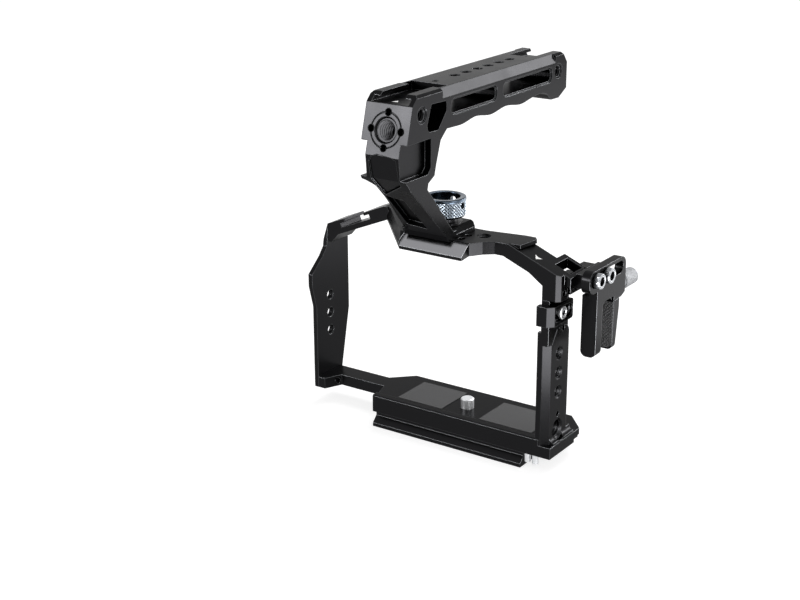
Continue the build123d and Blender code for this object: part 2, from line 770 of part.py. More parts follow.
def make_clip_screw():
    seat = clip_arm_x[1] - 1.3 + clip_play
    tip = (port_side_x + 0.4, clip_screw_y, clip_z)
    length = seat + clip_screw_head_height - tip[0]
    return flat_screw(tip, (1, 0, 0), m3_radius, length, clip_screw_head_radius,
                      clip_screw_head_height, 1.3)


# ---------------------------------------------------------------- handle
handle_left = handle_x - handle_half_width
handle_right = handle_x + handle_half_width
head_top_front_y = head_front_y + head_height * math.tan(math.radians(head_lean)) - 1.0
ledge_z = handle_top_z - head_height
grip_under_z = handle_top_z - grip_depth
window_z0 = handle_top_z - window_drop
window_z1 = window_z0 + window_height
leg_tan = math.tan(math.radians(leg_lean))
leg_rise = handle_rise - head_height - neck_height
leg_top_z = top_z + leg_rise
leg_top_y = foot_front_y - (leg_rise - foot_nose) / leg_tan


def finger_line(steps=7):
    """Points of the finger rest, from the neck back to the heel, one per half wave."""
    points = []
    start_y = neck_rear_y + 15.0
    for i in range(steps):
        y = start_y + i * finger_pitch / 2
        z = grip_under_z + (finger_wave if i % 2 else 0)
        points.append((y, z))
    return points


def make_neck_panel():
    """Shallow sunk panel that follows the neck's front and ends in a point on the leg."""
    outline = outline_xz(
        [
            (handle_x - 7.2, ledge_z - 8.2),
            (handle_x - 5.7, ledge_z - 6.0),
            (handle_x - 2.6, ledge_z - 4.9),
            (handle_x + 4.5, ledge_z - 5.6),
            (handle_x + 6.8, ledge_z - 6.6),
            (handle_x + 7.9, leg_top_z + 3.1),
            (handle_x + 7.7, leg_top_z + 2.3),
            (handle_x - 4.1, leg_top_z - 4.0),
            (handle_x - 6.3, leg_top_z + 4.1),
        ],
        head_front_y - 6,
        foot_front_y,
    )
    front = head_front_y + neck_panel_depth
    depth = outline_yz(
        [
            (head_front_y - 6, ledge_z),
            (front, ledge_z),
            (front - 1.6, ledge_z - 5.6),
            (front - 0.7, ledge_z - 15.7),
            (leg_top_y + neck_panel_depth * 1.3, leg_top_z),
            (foot_front_y + neck_panel_depth * 1.45, top_z + foot_nose),
            (head_front_y - 6, top_z + foot_nose),
        ],
        handle_left,
        handle_right,
    )
    return outline & depth


def make_handle_body():
    waves = finger_line()
    with BuildSketch(Plane((handle_left, 0, 0), x_dir=(0, 1, 0), z_dir=(1, 0, 0))) as side:
        with BuildLine():
            heel = (grip_rear_y - 14.6, grip_under_z - 2.9)
            Polyline(
                heel,
                (grip_rear_y - 7.3, grip_under_z - 3.1),
                (grip_rear_y, grip_under_z + 0.6),
                (grip_rear_y, handle_top_z - 5.2),
                (grip_rear_y - 4.2, handle_top_z - 0.0),
                (head_top_front_y + head_bevel, handle_top_z),
                (head_top_front_y, handle_top_z - head_bevel),
                (head_front_y, ledge_z),
                (head_front_y - 1.6, ledge_z - 5.6),
                (head_front_y - 0.7, ledge_z - 15.7),
                (leg_top_y, leg_top_z),
                (foot_front_y, top_z + foot_nose),
                (foot_front_y + 1.9, top_z),
                (foot_rear_y, top_z),
                (foot_rear_y, tongue_top_z),
                (foot_front_y + 5.5, tongue_top_z),
                (neck_rear_y - 4.9, leg_top_z - 7.1),
                (neck_rear_y - 10.0, leg_top_z - 1.5),
                (neck_rear_y - 9.3, leg_top_z + 1.2),
                (neck_rear_y - 4.7, leg_top_z + 3.6),
                (neck_rear_y - 3.2, leg_top_z + 8.8),
                (neck_rear_y, leg_top_z + 18.1),
                (neck_rear_y + 4.8, grip_under_z + 0.4),
                waves[0],
            )
            Spline(*waves, heel, tangents=[(1, 0), (1, -0.6)])
        make_face()
    body = extrude(side.sketch, amount=2 * handle_half_width, dir=(1, 0, 0))
    # narrow neck below the head, open to the front
    for near, far in ((handle_left - 1, handle_x - handle_neck_half_width),
                      (handle_x + handle_neck_half_width, handle_right + 1)):
        pocket = outline_yz(
            [
                (head_front_y - 6, ledge_z),
                (neck_rear_y - 7.4, ledge_z),
                (neck_rear_y - 7.4, leg_top_z + 7.6),
                (neck_rear_y - 9.7, leg_top_z + 5.1),
                (head_front_y - 6, leg_top_z + 5.1),
            ],
            near,
            far,
        )
        body -= pocket
    # chamfers of the top face
    for sign in (-1, 1):
        top_edge = handle_x + sign * handle_top_half_width
        side_face = handle_x + sign * handle_half_width
        wedge = outline_xz(
            [
                (top_edge, handle_top_z + 0.01),
                (side_face + sign * 1, handle_top_z + 0.01),
                (side_face + sign * 1, handle_top_z - 6.6),
                (side_face, handle_top_z - 4.3),
            ],
            neck_rear_y + 1.5,
            grip_rear_y - 11,
        )
        body -= wedge
        body -= outline_xz(
            [
                (side_face - sign * 1.2, handle_top_z + 0.01),
                (side_face + sign * 1, handle_top_z + 0.01),
                (side_face + sign * 1, handle_top_z - 3.0),
                (side_face, handle_top_z - 1.2),
            ],
            head_front_y - 9,
            grip_rear_y + 1,
        )
    # strap windows
    for y0, y1 in (front_window_y, rear_window_y):
        window = outline_yz([(y0, window_z0), (y1, window_z0), (y1, window_z1), (y0, window_z1)],
                            handle_left - 1, handle_right + 1, corner=2.2)
        body -= window
        for x0, x1 in ((handle_left - 1, handle_left + 0.7), (handle_right - 0.7, handle_right + 1)):
            body -= outline_yz([(y0 - 0.8, window_z0 - 0.8), (y1 + 0.8, window_z0 - 0.8),
                                (y1 + 0.8, window_z1 + 0.8), (y0 - 0.8, window_z1 + 0.8)],
                               x0, x1, corner=3.0)
    head_window_y = neck_rear_y - 7.3
    body -= outline_yz(
        [
            (head_window_y, handle_top_z - 5.2),
            (head_window_y + 11.8, handle_top_z - 5.7),
            (head_window_y + 11.8, handle_top_z - 10.0),
            (head_window_y + 5.5, handle_top_z - 17.1),
            (head_window_y - 2.1, handle_top_z - 16.7),
            (head_window_y - 3.1, handle_top_z - 14.0),
        ],
        handle_left - 1, handle_right + 1, corner=1.2)
    # cold shoes in the head and in the tail
    for y0, y1, drop_y0, drop_y1 in ((head_front_y - 1, neck_rear_y + 3, neck_rear_y + 3, neck_rear_y + 9),
                                     (grip_rear_y - 24, grip_rear_y + 1, 0, 0)):
        slot_top = handle_top_z - shoe_lip
        slot_floor = slot_top - shoe_slot_height
        body -= block(handle_x - shoe_gap / 2, handle_x + shoe_gap / 2, y0, y1, slot_floor, handle_top_z + 1)
        body -= block(handle_x - shoe_width / 2, handle_x + shoe_width / 2, y0, y1, slot_floor, slot_top)
        if drop_y1:
            body -= block(handle_x - shoe_width / 2, handle_x + shoe_width / 2, drop_y0 - 1, drop_y1,
                          slot_floor, handle_top_z + 1)
    # pocket in the leg's front
    leg_plane = Plane((handle_x, foot_front_y, top_z + foot_nose), x_dir=(1, 0, 0),
                      z_dir=(0, -math.sin(math.radians(leg_lean)), -math.cos(math.radians(leg_lean))))
    leg_run = (leg_rise - foot_nose) / math.sin(math.radians(leg_lean))
    face_pocket = leg_plane * Polygon((-5.1, leg_run - 6.7), (3.5, leg_run - 8.9), (3.9, 4.1), (-6.1, 5.6))
    body -= extrude(fillet(face_pocket.vertices(), 0.8), amount=leg_pocket_depth, dir=tuple(-leg_plane.z_dir))
    # relief along the leg's left side, waisted towards the neck
    outer = -handle_half_width - 1
    waist = 5.9
    relief = leg_plane * Polygon(
        (outer, 0.5),
        (-9.9, 0.9),
        (-8.1, 13.9),
        (-6.9, 20.4),
        (-waist, leg_run - 8.0),
        (-waist, leg_run - 4.7),
        (outer, leg_run - 4.7),
    )
    body -= extrude(relief, amount=leg_relief_depth, dir=tuple(-leg_plane.z_dir))
    body -= outline_xz(
        [
            (handle_left - 1, leg_top_z - 4.0),
            (handle_x - waist, leg_top_z - 4.0),
            (handle_x - waist, leg_top_z + 0.3),
            (handle_x - 7.2, leg_top_z + 1.4),
            (handle_x - 10.2, leg_top_z + 3.0),
            (handle_left - 1, leg_top_z + 3.7),
        ],
        head_front_y - 4, neck_rear_y)
    body -= make_neck_panel()
    # 3/8 inch hole in the head's front face, with its ring groove and locating holes
    way = head_axis
    mouth = head_hole_mouth
    body -= rod(tuple(mouth + way * 1), tuple(-way), insert_radius, 13)
    body -= cone(tuple(mouth + way * 0.01), tuple(-way), insert_radius + 0.6, insert_radius, 0.8)
    ring = rod(tuple(mouth + way * 1), tuple(-way), locating_radius + ring_groove_width / 2, 1.7)
    ring -= rod(tuple(mouth + way * 1), tuple(-way), locating_radius - ring_groove_width / 2, 1.7)
    body -= ring
    for angle in (0, 90, 180, 270):
        spot = mouth + Vector(math.cos(math.radians(angle)), 0, 0) * locating_radius
        spot += head_up * (math.sin(math.radians(angle)) * locating_radius)
        body -= rod(tuple(spot + way * 1), tuple(-way), locating_pin_radius, 5)
    # side screw holes
    for y, z in side_holes:
        for x0, direction in ((handle_right + 0.5, (-1, 0, 0)), (handle_left - 0.5, (1, 0, 0))):
            body -= rod((x0, y, z), direction, quarter_tap_radius, side_hole_depth)
            body -= rod((x0, y, z), direction, quarter_inch_radius + 0.5, 1.1)
    # row of holes in the top face
    for i in range(top_hole_count):
        body -= rod((handle_x, top_hole_first_y + i * accessory_pitch, window_z1 - 1), (0, 0, 1),
                    quarter_tap_radius, handle_rise)
    body -= rod((handle_x, neck_rear_y + 13.3, handle_top_z - 4), (0, 0, 1), locating_pin_radius, 6)
    # foot: clamp screw way, seat for the washer, sockets for the locating pins
    body -= rod((handle_x, knob_y, top_z - 1), (0, 0, 1), three_eighths_radius + screw_clearance,
                foot_thickness + 2)
    for sign in (-1, 1):
        body -= rod((handle_x, knob_y + sign * locating_radius, top_z - 1), (0, 0, 1),
                    locating_pin_radius, foot_thickness)
    body -= block(handle_left - 1, handle_x - 1.0 - washer_radius, foot_rear_y - 11, foot_rear_y + 1,
                  top_z - 1, tongue_top_z + 1)
    edge_x = handle_right - foot_chamfer_width
    body -= outline_xz(
        [
            (edge_x, tongue_top_z),
            (handle_right, tongue_top_z - foot_chamfer_drop),
            (handle_right + 1, tongue_top_z - foot_chamfer_drop),
            (handle_right + 1, tongue_top_z + 1),
            (edge_x, tongue_top_z + 1),
        ],
        foot_front_y + 8,
        foot_rear_y + 1,
    )
    return body - outline_xy(
        [
            (handle_right - foot_corner, foot_rear_y),
            (handle_right, foot_rear_y - foot_corner),
            (handle_right + 1, foot_rear_y - foot_corner),
            (handle_right + 1, foot_rear_y + 1),
            (handle_right - foot_corner, foot_rear_y + 1),
        ],
        top_z - 1,
        tongue_top_z + 1,
    )


head_axis = Vector(0, -math.cos(math.radians(head_lean)), math.sin(math.radians(head_lean)))
head_up = Vector(0, math.sin(math.radians(head_lean)), math.cos(math.radians(head_lean)))
head_hole_mouth = Vector(handle_x, head_front_y, ledge_z) + head_up * head_hole_rise
insert_radius = three_eighths_radius + 0.35
side_hole_depth = 4.6
side_holes = ((neck_rear_y - 14.2, handle_top_z - 8.7), (grip_rear_y - 8.2, handle_top_z - 8.5))


def make_thread_insert():
    way = head_axis
    start = head_hole_mouth - way * 0.9
    tube = rod(tuple(start), tuple(-way), insert_radius, 10.5)
    return tube - rod(tuple(start + way), tuple(-way), three_eighths_tap_radius, 13)


def make_locating_pins():
    return [rod((handle_x, knob_y + sign * locating_radius, top_z - 2.6), (0, 0, 1),
                locating_pin_radius, foot_thickness + 1.4) for sign in (-1, 1)]


# ---------------------------------------------------------------- handle knob
screw_top_z = knob_z + knob_floor + 2.0


def make_clamp_screw():
    low = plate_under_z + 0.4
    screw = rod((handle_x, knob_y, low), (0, 0, 1), three_eighths_radius, screw_top_z - low)
    edges = screw.edges().filter_by(GeomType.CIRCLE).sort_by(Axis.Z)
    screw = chamfer(edges[0], 0.8)
    key = Plane((handle_x, knob_y, screw_top_z - 3)) * RegularPolygon(2.6, 6)
    return screw - extrude(key, amount=4, dir=(0, 0, 1))


def make_handle_knob():
    knob = rod((handle_x, knob_y, knob_z), (0, 0, 1), knob_radius, knob_height)
    rims = knob.edges().filter_by(GeomType.CIRCLE)
    knob = chamfer(rims, 0.7)
    knob -= rod((handle_x, knob_y, knob_z + knob_floor), (0, 0, 1), knob_bore_radius, knob_height)
    collar_z = tongue_top_z + washer_thickness + running_clearance
    collar = rod((handle_x, knob_y, collar_z), (0, 0, 1), knob_collar_radius, knob_z - collar_z + 0.5)
    knob += collar
    knob -= rod((handle_x, knob_y, collar_z - 1), (0, 0, 1), three_eighths_radius, knob_height + 6)
    for turn in (0, 90):
        side = (math.cos(math.radians(turn)), math.sin(math.radians(turn)), 0)
        start = (handle_x - side[0] * 12, knob_y - side[1] * 12, knob_z + knob_height * 0.62)
        knob -= rod(start, side, 1.5, 24)
    return knob


def make_knob_washer():
    disc = rod((handle_x, knob_y, tongue_top_z), (0, 0, 1), washer_radius, washer_thickness)
    return disc - rod((handle_x, knob_y, tongue_top_z - 1), (0, 0, 1),
                      three_eighths_radius + screw_clearance, 4)


def make_knob_retaining_ring():
    z = knob_z + knob_floor
    ring = rod((handle_x, knob_y, z), (0, 0, 1), three_eighths_radius + 1.4, 0.9)
    ring -= rod((handle_x, knob_y, z - 1), (0, 0, 1), three_eighths_radius, 4)
    return ring - block(handle_x - 0.8, handle_x + 0.8, knob_y, knob_y + 12, z - 1, z + 2)


# ---------------------------------------------------------------- cable clamp
clamp_top_z = top_z - clamp_drop
clamp_low_z = clamp_top_z - clamp_height
clamp_inner_x = clamp_face_x - clamp_plate_thickness
clamp_slot_z = clamp_top_z - 4.6
clamp_seat_x = port_side_x + 4.3
clamp_foot_z = upper_wall_z + 1.0
loop_under_z = shoulder_top(upper_outer_x) - loop_thickness
clamp_foot_screw_z = clamp_foot_z + 3.0
clamp_foot_screw_ys = (front_y + upper_wall_depth + 3.3, clamp_arm_front_y - 2.8)
clamp_arm_rear_y = clamp_arm_front_y + clamp_arm_depth
jaw_x = (clamp_face_x - jaw_width, clamp_face_x)
rear_jaw_y = jaw_front_y + jaw_thickness + jaw_gap
thumb_z = clamp_low_z + 4.6
thumb_x = clamp_face_x - jaw_width / 2
guide_x = thumb_x
guide_z = thumb_z + thumb_rod_radius + 0.8 + guide_radius + 0.3
jaw_channel_z = guide_z + guide_radius + 0.5
clamp_arm_top_z = clamp_top_z - 2.7
bearing_front_y = clamp_rear_y - bearing_length
guide_front_y = jaw_front_y + jaw_thickness - guide_seat
pad_xs = (jaw_x[0] + pad_edge, jaw_x[1] - pad_edge)
pad_top_z = clamp_low_z - pad_top
fixed_jaw_z = clamp_low_z - jaw_length
moving_jaw_z = fixed_jaw_z - moving_jaw_extra


def jaw_pad(y0, y1, jaw_z):
    """Pad, or the pocket it lies in, with its lower corners cut off."""
    low = jaw_z + pad_toe
    return outline_xz(
        [
            (pad_xs[0], pad_top_z),
            (pad_xs[0], low + pad_corner),
            (pad_xs[0] + pad_corner, low),
            (pad_xs[1] - pad_corner, low),
            (pad_xs[1], low + pad_corner),
            (pad_xs[1], pad_top_z),
        ],
        y0,
        y1,
    )


def make_clamp_arm():
    arm = block(clamp_seat_x, clamp_inner_x, clamp_arm_front_y, clamp_arm_rear_y,
                jaw_channel_z + 0.5, clamp_arm_top_z)
    tab = block(clamp_inner_x - 3.4, clamp_inner_x, clamp_screw_y - 4.6, clamp_arm_rear_y,
                clamp_slot_z - 3.4, clamp_top_z - 1.6)
    foot = block(clamp_seat_x, upper_outer_x, front_y + upper_wall_depth + 0.2, clamp_arm_front_y + 0.5,
                 clamp_foot_z, loop_under_z - head_sink)
    web = block(clamp_seat_x, upper_outer_x, clamp_arm_front_y, clamp_arm_rear_y, clamp_foot_z,
                clamp_arm_top_z)
    body = arm + tab + web + foot
    for y in clamp_foot_screw_ys:
        body -= rod((clamp_seat_x - 1, y, clamp_foot_screw_z), (1, 0, 0), m3_radius + screw_clearance, 8)
        body -= rod((upper_outer_x - m3_head_height - head_sink, y, clamp_foot_screw_z), (1, 0, 0),
                    m3_head_radius + screw_clearance, 4)
    for i in range(2):
        y = clamp_screw_y + i * clamp_screw_spacing
        body -= rod((clamp_inner_x - 5, y, clamp_slot_z), (1, 0, 0), clamp_screw_radius, 6)
    return body


def make_clamp_arm_screws():
    tip_x = port_side_x + 0.9
    return [flat_screw((tip_x, y, clamp_foot_screw_z), (1, 0, 0), m3_radius,
                       upper_outer_x - head_sink - tip_x, m3_head_radius, m3_head_height, m3_socket)
            for y in clamp_foot_screw_ys]


def make_clamp_bracket():
    plate = outline_yz(
        [
            (clamp_front_y, clamp_top_z - clamp_band),
            (clamp_front_y, clamp_top_z),
            (clamp_rear_y, clamp_top_z),
            (clamp_rear_y, clamp_low_z + 1.4),
            (clamp_rear_y - 3.4, clamp_low_z),
            (jaw_front_y, clamp_low_z),
            (jaw_front_y, clamp_top_z - clamp_band),
        ],
        clamp_inner_x,
        clamp_face_x,
    )
    corners = plate.edges().filter_by(Axis.X).group_by(Axis.Z)[-1]
    plate = fillet(corners, 4.4)
    low_corner = plate.edges().filter_by(Axis.X).group_by(Axis.Y)[0].sort_by(Axis.Z)[0]
    plate = fillet(low_corner, 4.4)
    plate -= slot_along_y(clamp_inner_x - 1, clamp_face_x + 1, clamp_slot_front_y, clamp_slot_rear_y,
                          clamp_slot_z, clamp_slot_height)
    # fixed jaw grows out of the plate's lower edge
    jaw = outline_yz(
        [
            (jaw_front_y, clamp_low_z + 6.0),
            (jaw_front_y, fixed_jaw_z),
            (jaw_front_y + jaw_thickness, fixed_jaw_z),
            (jaw_front_y + jaw_thickness, clamp_low_z + 6.0),
        ],
        jaw_x[0],
        jaw_x[1],
    )
    toe = jaw.edges().filter_by(Axis.Y).group_by(Axis.Z)[0]
    jaw = fillet(toe, 2.8)
    # rear bearing block that the thumb screw turns in
    bearing = block(thumb_x - 3.7, clamp_face_x, bearing_front_y, clamp_rear_y, clamp_low_z + 1.4,
                    jaw_channel_z)
    body = plate + jaw + bearing
    # channel for the sliding jaw's block
    channel = block(thumb_x - 3.8, clamp_face_x - 1.2, jaw_front_y + jaw_thickness, bearing_front_y,
                    clamp_low_z - 1, jaw_channel_z)
    body -= channel
    arch = outline_yz(
        [
            (jaw_front_y + jaw_thickness, clamp_low_z - 1),
            (jaw_front_y + jaw_thickness, clamp_low_z + 1.4),
            (jaw_front_y + jaw_thickness + 2, clamp_low_z + 2.2),
            (rear_jaw_y, clamp_low_z + 2.2),
            (rear_jaw_y, clamp_low_z - 1),
        ],
        clamp_inner_x - 1,
        clamp_face_x + 1,
    )
    body -= arch
    body -= rod((thumb_x, clamp_rear_y - 6, thumb_z), (0, 1, 0),
                thumb_rod_radius + running_clearance, 8)
    body -= rod((guide_x, clamp_rear_y - 6, guide_z), (0, 1, 0), guide_radius, 8)
    body -= rod((guide_x, guide_front_y, guide_z), (0, 1, 0), guide_radius, 4)
    return body - jaw_pad(jaw_front_y + jaw_thickness - pad_depth, jaw_front_y + jaw_thickness + 1,
                          fixed_jaw_z)


def make_moving_jaw():
    leg = outline_yz(
        [
            (rear_jaw_y, moving_jaw_z),
            (rear_jaw_y + 2.8, moving_jaw_z),
            (rear_jaw_y + jaw_thickness, clamp_low_z - 4.0),
            (rear_jaw_y + jaw_thickness, clamp_low_z - jaw_play),
            (rear_jaw_y, clamp_low_z - jaw_play),
        ],
        jaw_x[0],
        jaw_x[1],
    )
    toe = leg.edges().filter_by(Axis.Y).group_by(Axis.Z)[0]
    leg = fillet(toe, 2.4)
    head = block(thumb_x - 3.6, clamp_face_x - 1.4, rear_jaw_y, rear_jaw_y + jaw_thickness - 0.4,
                 clamp_low_z - 1, jaw_channel_z - 0.2)
    body = leg + head
    body -= rod((thumb_x, rear_jaw_y - 1, thumb_z), (0, 1, 0), thumb_rod_radius + thread_clearance, 10)
    body -= rod((guide_x, rear_jaw_y - 1, guide_z), (0, 1, 0), guide_radius + thread_clearance, 10)
    return body - jaw_pad(rear_jaw_y - 1, rear_jaw_y + pad_depth, moving_jaw_z)


jaw_play = 0.2


def make_fixed_jaw_pad():
    rear = jaw_front_y + jaw_thickness
    return jaw_pad(rear - pad_depth, rear + 0.5, fixed_jaw_z)


def make_moving_jaw_pad():
    return jaw_pad(rear_jaw_y - 0.5, rear_jaw_y + pad_depth, moving_jaw_z)


def make_guide_rod():
    return rod((guide_x, guide_front_y, guide_z), (0, 1, 0), guide_radius, clamp_rear_y - guide_front_y)


def make_thumb_screw():
    start = jaw_front_y + jaw_thickness + 0.6
    end = clamp_rear_y + thumb_rear_gap
    shaft = rod((thumb_x, start, thumb_z), (0, 1, 0), thumb_rod_radius, end - start + 4)
    collar_y = bearing_front_y - 0.9 - running_clearance
    collar = rod((thumb_x, collar_y, thumb_z), (0, 1, 0), thumb_rod_radius + 0.8, 0.9)
    return shaft + collar


def make_thumb_knob():
    start = clamp_rear_y + running_clearance
    hub = rod((thumb_x, start, thumb_z), (0, 1, 0), 3.0, thumb_rear_gap)
    grip = rod((thumb_x, start + thumb_rear_gap - 0.01, thumb_z), (0, 1, 0), thumb_radius, thumb_length)
    grip = chamfer(grip.edges().filter_by(GeomType.CIRCLE), 0.5)
    body = hub + grip
    bore_end = clamp_rear_y + thumb_rear_gap + 4
    return body - rod((thumb_x, start - 1, thumb_z), (0, 1, 0), thumb_rod_radius, bore_end - start + 1)


def make_clamp_slot_screws():
    screws = []
    for i in range(2):
        y = clamp_screw_y + i * clamp_screw_spacing
        tip = (clamp_inner_x - 3.0, y, clamp_slot_z)
        length = clamp_face_x + clamp_head_height + running_clearance - tip[0]
        screws.append(flat_screw(tip, (1, 0, 0), clamp_screw_radius, length, clamp_head_radius,
                                 clamp_head_height, clamp_socket))
    return screws


# ---------------------------------------------------------------- write the parts
save("base_plate", make_base_plate())
save("rail_stop_pins", Compound(children=make_stop_pins()))
save("base_pads", Compound(children=make_base_pads()))
save("camera_screw", make_camera_screw())
save("port_side_wall", make_port_side_wall())
save("top_frame", make_top_frame())
save("left_bar", make_left_bar())
save("frame_screws", Compound(children=make_frame_screws()))
save("locking_clip", make_locking_clip())
save("clip_screw", make_clip_screw())
save("handle_body", make_handle_body())
save("thread_insert", make_thread_insert())
save("locating_pins", Compound(children=make_locating_pins()))
save("clamp_screw", make_clamp_screw())
save("handle_knob", make_handle_knob())
save("knob_washer", make_knob_washer())
save("knob_retaining_ring", make_knob_retaining_ring())
save("clamp_arm", make_clamp_arm())
save("clamp_arm_screws", Compound(children=make_clamp_arm_screws()))
save("clamp_bracket", make_clamp_bracket())
save("clamp_slot_screws", Compound(children=make_clamp_slot_screws()))
save("moving_jaw", make_moving_jaw())
save("fixed_jaw_pad", make_fixed_jaw_pad())
save("moving_jaw_pad", make_moving_jaw_pad())
save("guide_rod", make_guide_rod())
save("thumb_screw", make_thumb_screw())
save("thumb_knob", make_thumb_knob())
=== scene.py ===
import json
import math

import bmesh
import bpy
import numpy as np
from mathutils import Matrix, Vector


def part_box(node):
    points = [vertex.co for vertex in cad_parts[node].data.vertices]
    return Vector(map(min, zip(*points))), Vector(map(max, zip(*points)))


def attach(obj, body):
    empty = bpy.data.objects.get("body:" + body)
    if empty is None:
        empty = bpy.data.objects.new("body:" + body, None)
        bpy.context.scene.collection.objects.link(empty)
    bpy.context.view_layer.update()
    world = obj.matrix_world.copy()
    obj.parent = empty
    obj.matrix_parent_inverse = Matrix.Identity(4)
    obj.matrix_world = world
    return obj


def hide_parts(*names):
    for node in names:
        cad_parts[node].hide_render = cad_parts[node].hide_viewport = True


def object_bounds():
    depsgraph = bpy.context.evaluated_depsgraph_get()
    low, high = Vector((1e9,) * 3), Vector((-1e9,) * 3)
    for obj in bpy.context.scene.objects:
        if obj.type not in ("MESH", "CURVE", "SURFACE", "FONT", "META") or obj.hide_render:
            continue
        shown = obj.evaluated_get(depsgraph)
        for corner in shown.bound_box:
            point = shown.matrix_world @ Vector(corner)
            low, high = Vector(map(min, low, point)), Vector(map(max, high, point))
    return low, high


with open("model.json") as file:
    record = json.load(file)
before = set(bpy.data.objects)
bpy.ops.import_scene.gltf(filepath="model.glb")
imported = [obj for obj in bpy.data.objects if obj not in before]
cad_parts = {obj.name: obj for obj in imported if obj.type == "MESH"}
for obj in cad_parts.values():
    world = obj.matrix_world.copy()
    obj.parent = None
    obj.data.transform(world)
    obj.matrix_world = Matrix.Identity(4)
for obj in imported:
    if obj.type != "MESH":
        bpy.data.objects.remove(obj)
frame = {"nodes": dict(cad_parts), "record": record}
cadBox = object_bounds()
nodes = frame["nodes"]
mm = 0.001


def hexToLinear(code):
    c = np.array([int(code[i:i + 2], 16) for i in (1, 3, 5)]) / 255
    c = np.where(c <= 0.04045, c / 12.92, ((c + 0.055) / 1.055) ** 2.4)
    return (*c.tolist(), 1.0)


def nodeAxis(name):
    low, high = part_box(name)
    return low, high, (low + high) / 2


def addNode(tree, kind, settings=None, **links):
    # one node with its settings; links join an input by name, or by number as in i0
    node = tree.nodes.new(kind)
    for key, value in (settings or {}).items():
        if isinstance(key, str) and hasattr(node, key):
            setattr(node, key, value)
        else:
            node.inputs[key].default_value = value
    for key, source in links.items():
        byNumber = key[0] == "i" and key[1:].isdigit()
        tree.links.new(source, node.inputs[int(key[1:]) if byNumber else key.replace("_", " ")])
    return node


def newMaterial(name):
    material = bpy.data.materials.new(name)
    material.use_nodes = True
    tree = material.node_tree
    shader = tree.nodes["Principled BSDF"]
    coords = addNode(tree, "ShaderNodeTexCoord").outputs["Object"]
    return material, tree, shader, coords


def addNoise(tree, coords, sizeMm, detail=2.0, roughness=0.5):
    # cloudy noise from 0 to 1, with features of about this size
    noise = addNode(tree, "ShaderNodeTexNoise",
                    {"Scale": 1 / (sizeMm * mm), "Detail": detail, "Roughness": roughness}, Vector=coords)
    return noise.outputs["Fac"]


def remap(tree, source, start, end, low=0.0, high=1.0):
    # start to end becomes low to high, and the source is held inside them
    level = addNode(tree, "ShaderNodeMapRange",
                    {"From Min": start, "From Max": end, "To Min": low, "To Max": high}, Value=source)
    return level.outputs["Result"]


def varyRoughness(tree, shader, noise, least, most):
    tree.links.new(remap(tree, noise, 0.0, 1.0, least, most), shader.inputs["Roughness"])


def addBump(tree, shader, noise, strength, depthMm, **links):
    bump = addNode(tree, "ShaderNodeBump", {"Strength": strength, "Distance": depthMm * mm},
                   Height=noise, **links)
    tree.links.new(bump.outputs["Normal"], shader.inputs["Normal"])


def mixTones(tree, shader, first, second, source):
    # base colour: the first tone where the source is 0, the second where it's 1 (inputs 6 and 7 are colours)
    tones = addNode(tree, "ShaderNodeMix",
                    {"data_type": "RGBA", 6: hexToLinear(first), 7: hexToLinear(second)}, i0=source)
    tree.links.new(tones.outputs[2], shader.inputs["Base Color"])


# bump is the strength and the depth in mm; roughness runs between its two values. The lighter edge colour is
# a painted highlight, shown in cloudy patches
anodisedLook = {"face": "#1c1c1d", "edge": "#58595b", "tint": (0.6, 0.6, 0.6, 1.0), "roughness": (0.23, 0.35),
                "grainMm": 0.45, "grainDetail": 3.0, "grainRoughness": 0.6, "bump": (0.12, 0.03),
                "cloudMm": 14, "highlightPatchCloud": (0.25, 0.6), "leastHighlight": 0.45,
                "edgeMm": 0.4, "edgeSamples": 16, "edgeFacing": (0.985, 0.80)}
metalLook = {"grainMm": 0.25, "grainDetail": 3.0, "smoother": 0.75, "rougher": 1.3, "bump": (0.08, 0.02)}
rubberLook = {"colour": "#3a3a3b", "skinMm": 0.5, "skinDetail": 4.0, "roughness": (0.55, 0.8),
              "bump": (0.2, 0.04), "refraction": 1.41}
paintLook = {"colour": "#e9e9e7", "speckMm": 0.3, "roughness": (0.5, 0.7)}
knurlLook = {"groove": "#1f252c", "point": "#c9d4df", "radii": (9.28 * mm, 9.72 * mm), "grainMm": 0.3,
             "roughness": (0.16, 0.30)}


def makeAnodisedBlack():
    # bead-blasted, black anodised aluminium: fine matt grain, with a painted highlight in a lighter colour
    # along the edges, in cloudy patches
    look = anodisedLook
    material, tree, shader, coords = newMaterial("Bead-blasted black anodised aluminium")
    grain = addNoise(tree, coords, look["grainMm"], look["grainDetail"], look["grainRoughness"])
    cloud = addNoise(tree, coords, look["cloudMm"])
    rounded = addNode(tree, "ShaderNodeBevel",
                      {"samples": look["edgeSamples"], "Radius": look["edgeMm"] * mm})
    flat = addNode(tree, "ShaderNodeNewGeometry")
    facing = addNode(tree, "ShaderNodeVectorMath", {"operation": "DOT_PRODUCT"},
                     i0=rounded.outputs["Normal"], i1=flat.outputs["Normal"])
    # painted highlight: 1 where the rounded edge normal turns away from the flat one, then thinned in cloudy
    # patches
    edge = remap(tree, facing.outputs["Value"], *look["edgeFacing"])
    highlightPatches = remap(tree, cloud, *look["highlightPatchCloud"], look["leastHighlight"])
    lightToneMask = addNode(tree, "ShaderNodeMath", {"operation": "MULTIPLY"}, i0=edge, i1=highlightPatches)
    mixTones(tree, shader, look["face"], look["edge"], lightToneMask.outputs[0])
    varyRoughness(tree, shader, cloud, *look["roughness"])
    addBump(tree, shader, grain, *look["bump"], Normal=rounded.outputs["Normal"])
    shader.inputs["Metallic"].default_value = 1.0
    shader.inputs["Specular Tint"].default_value = look["tint"]
    return material


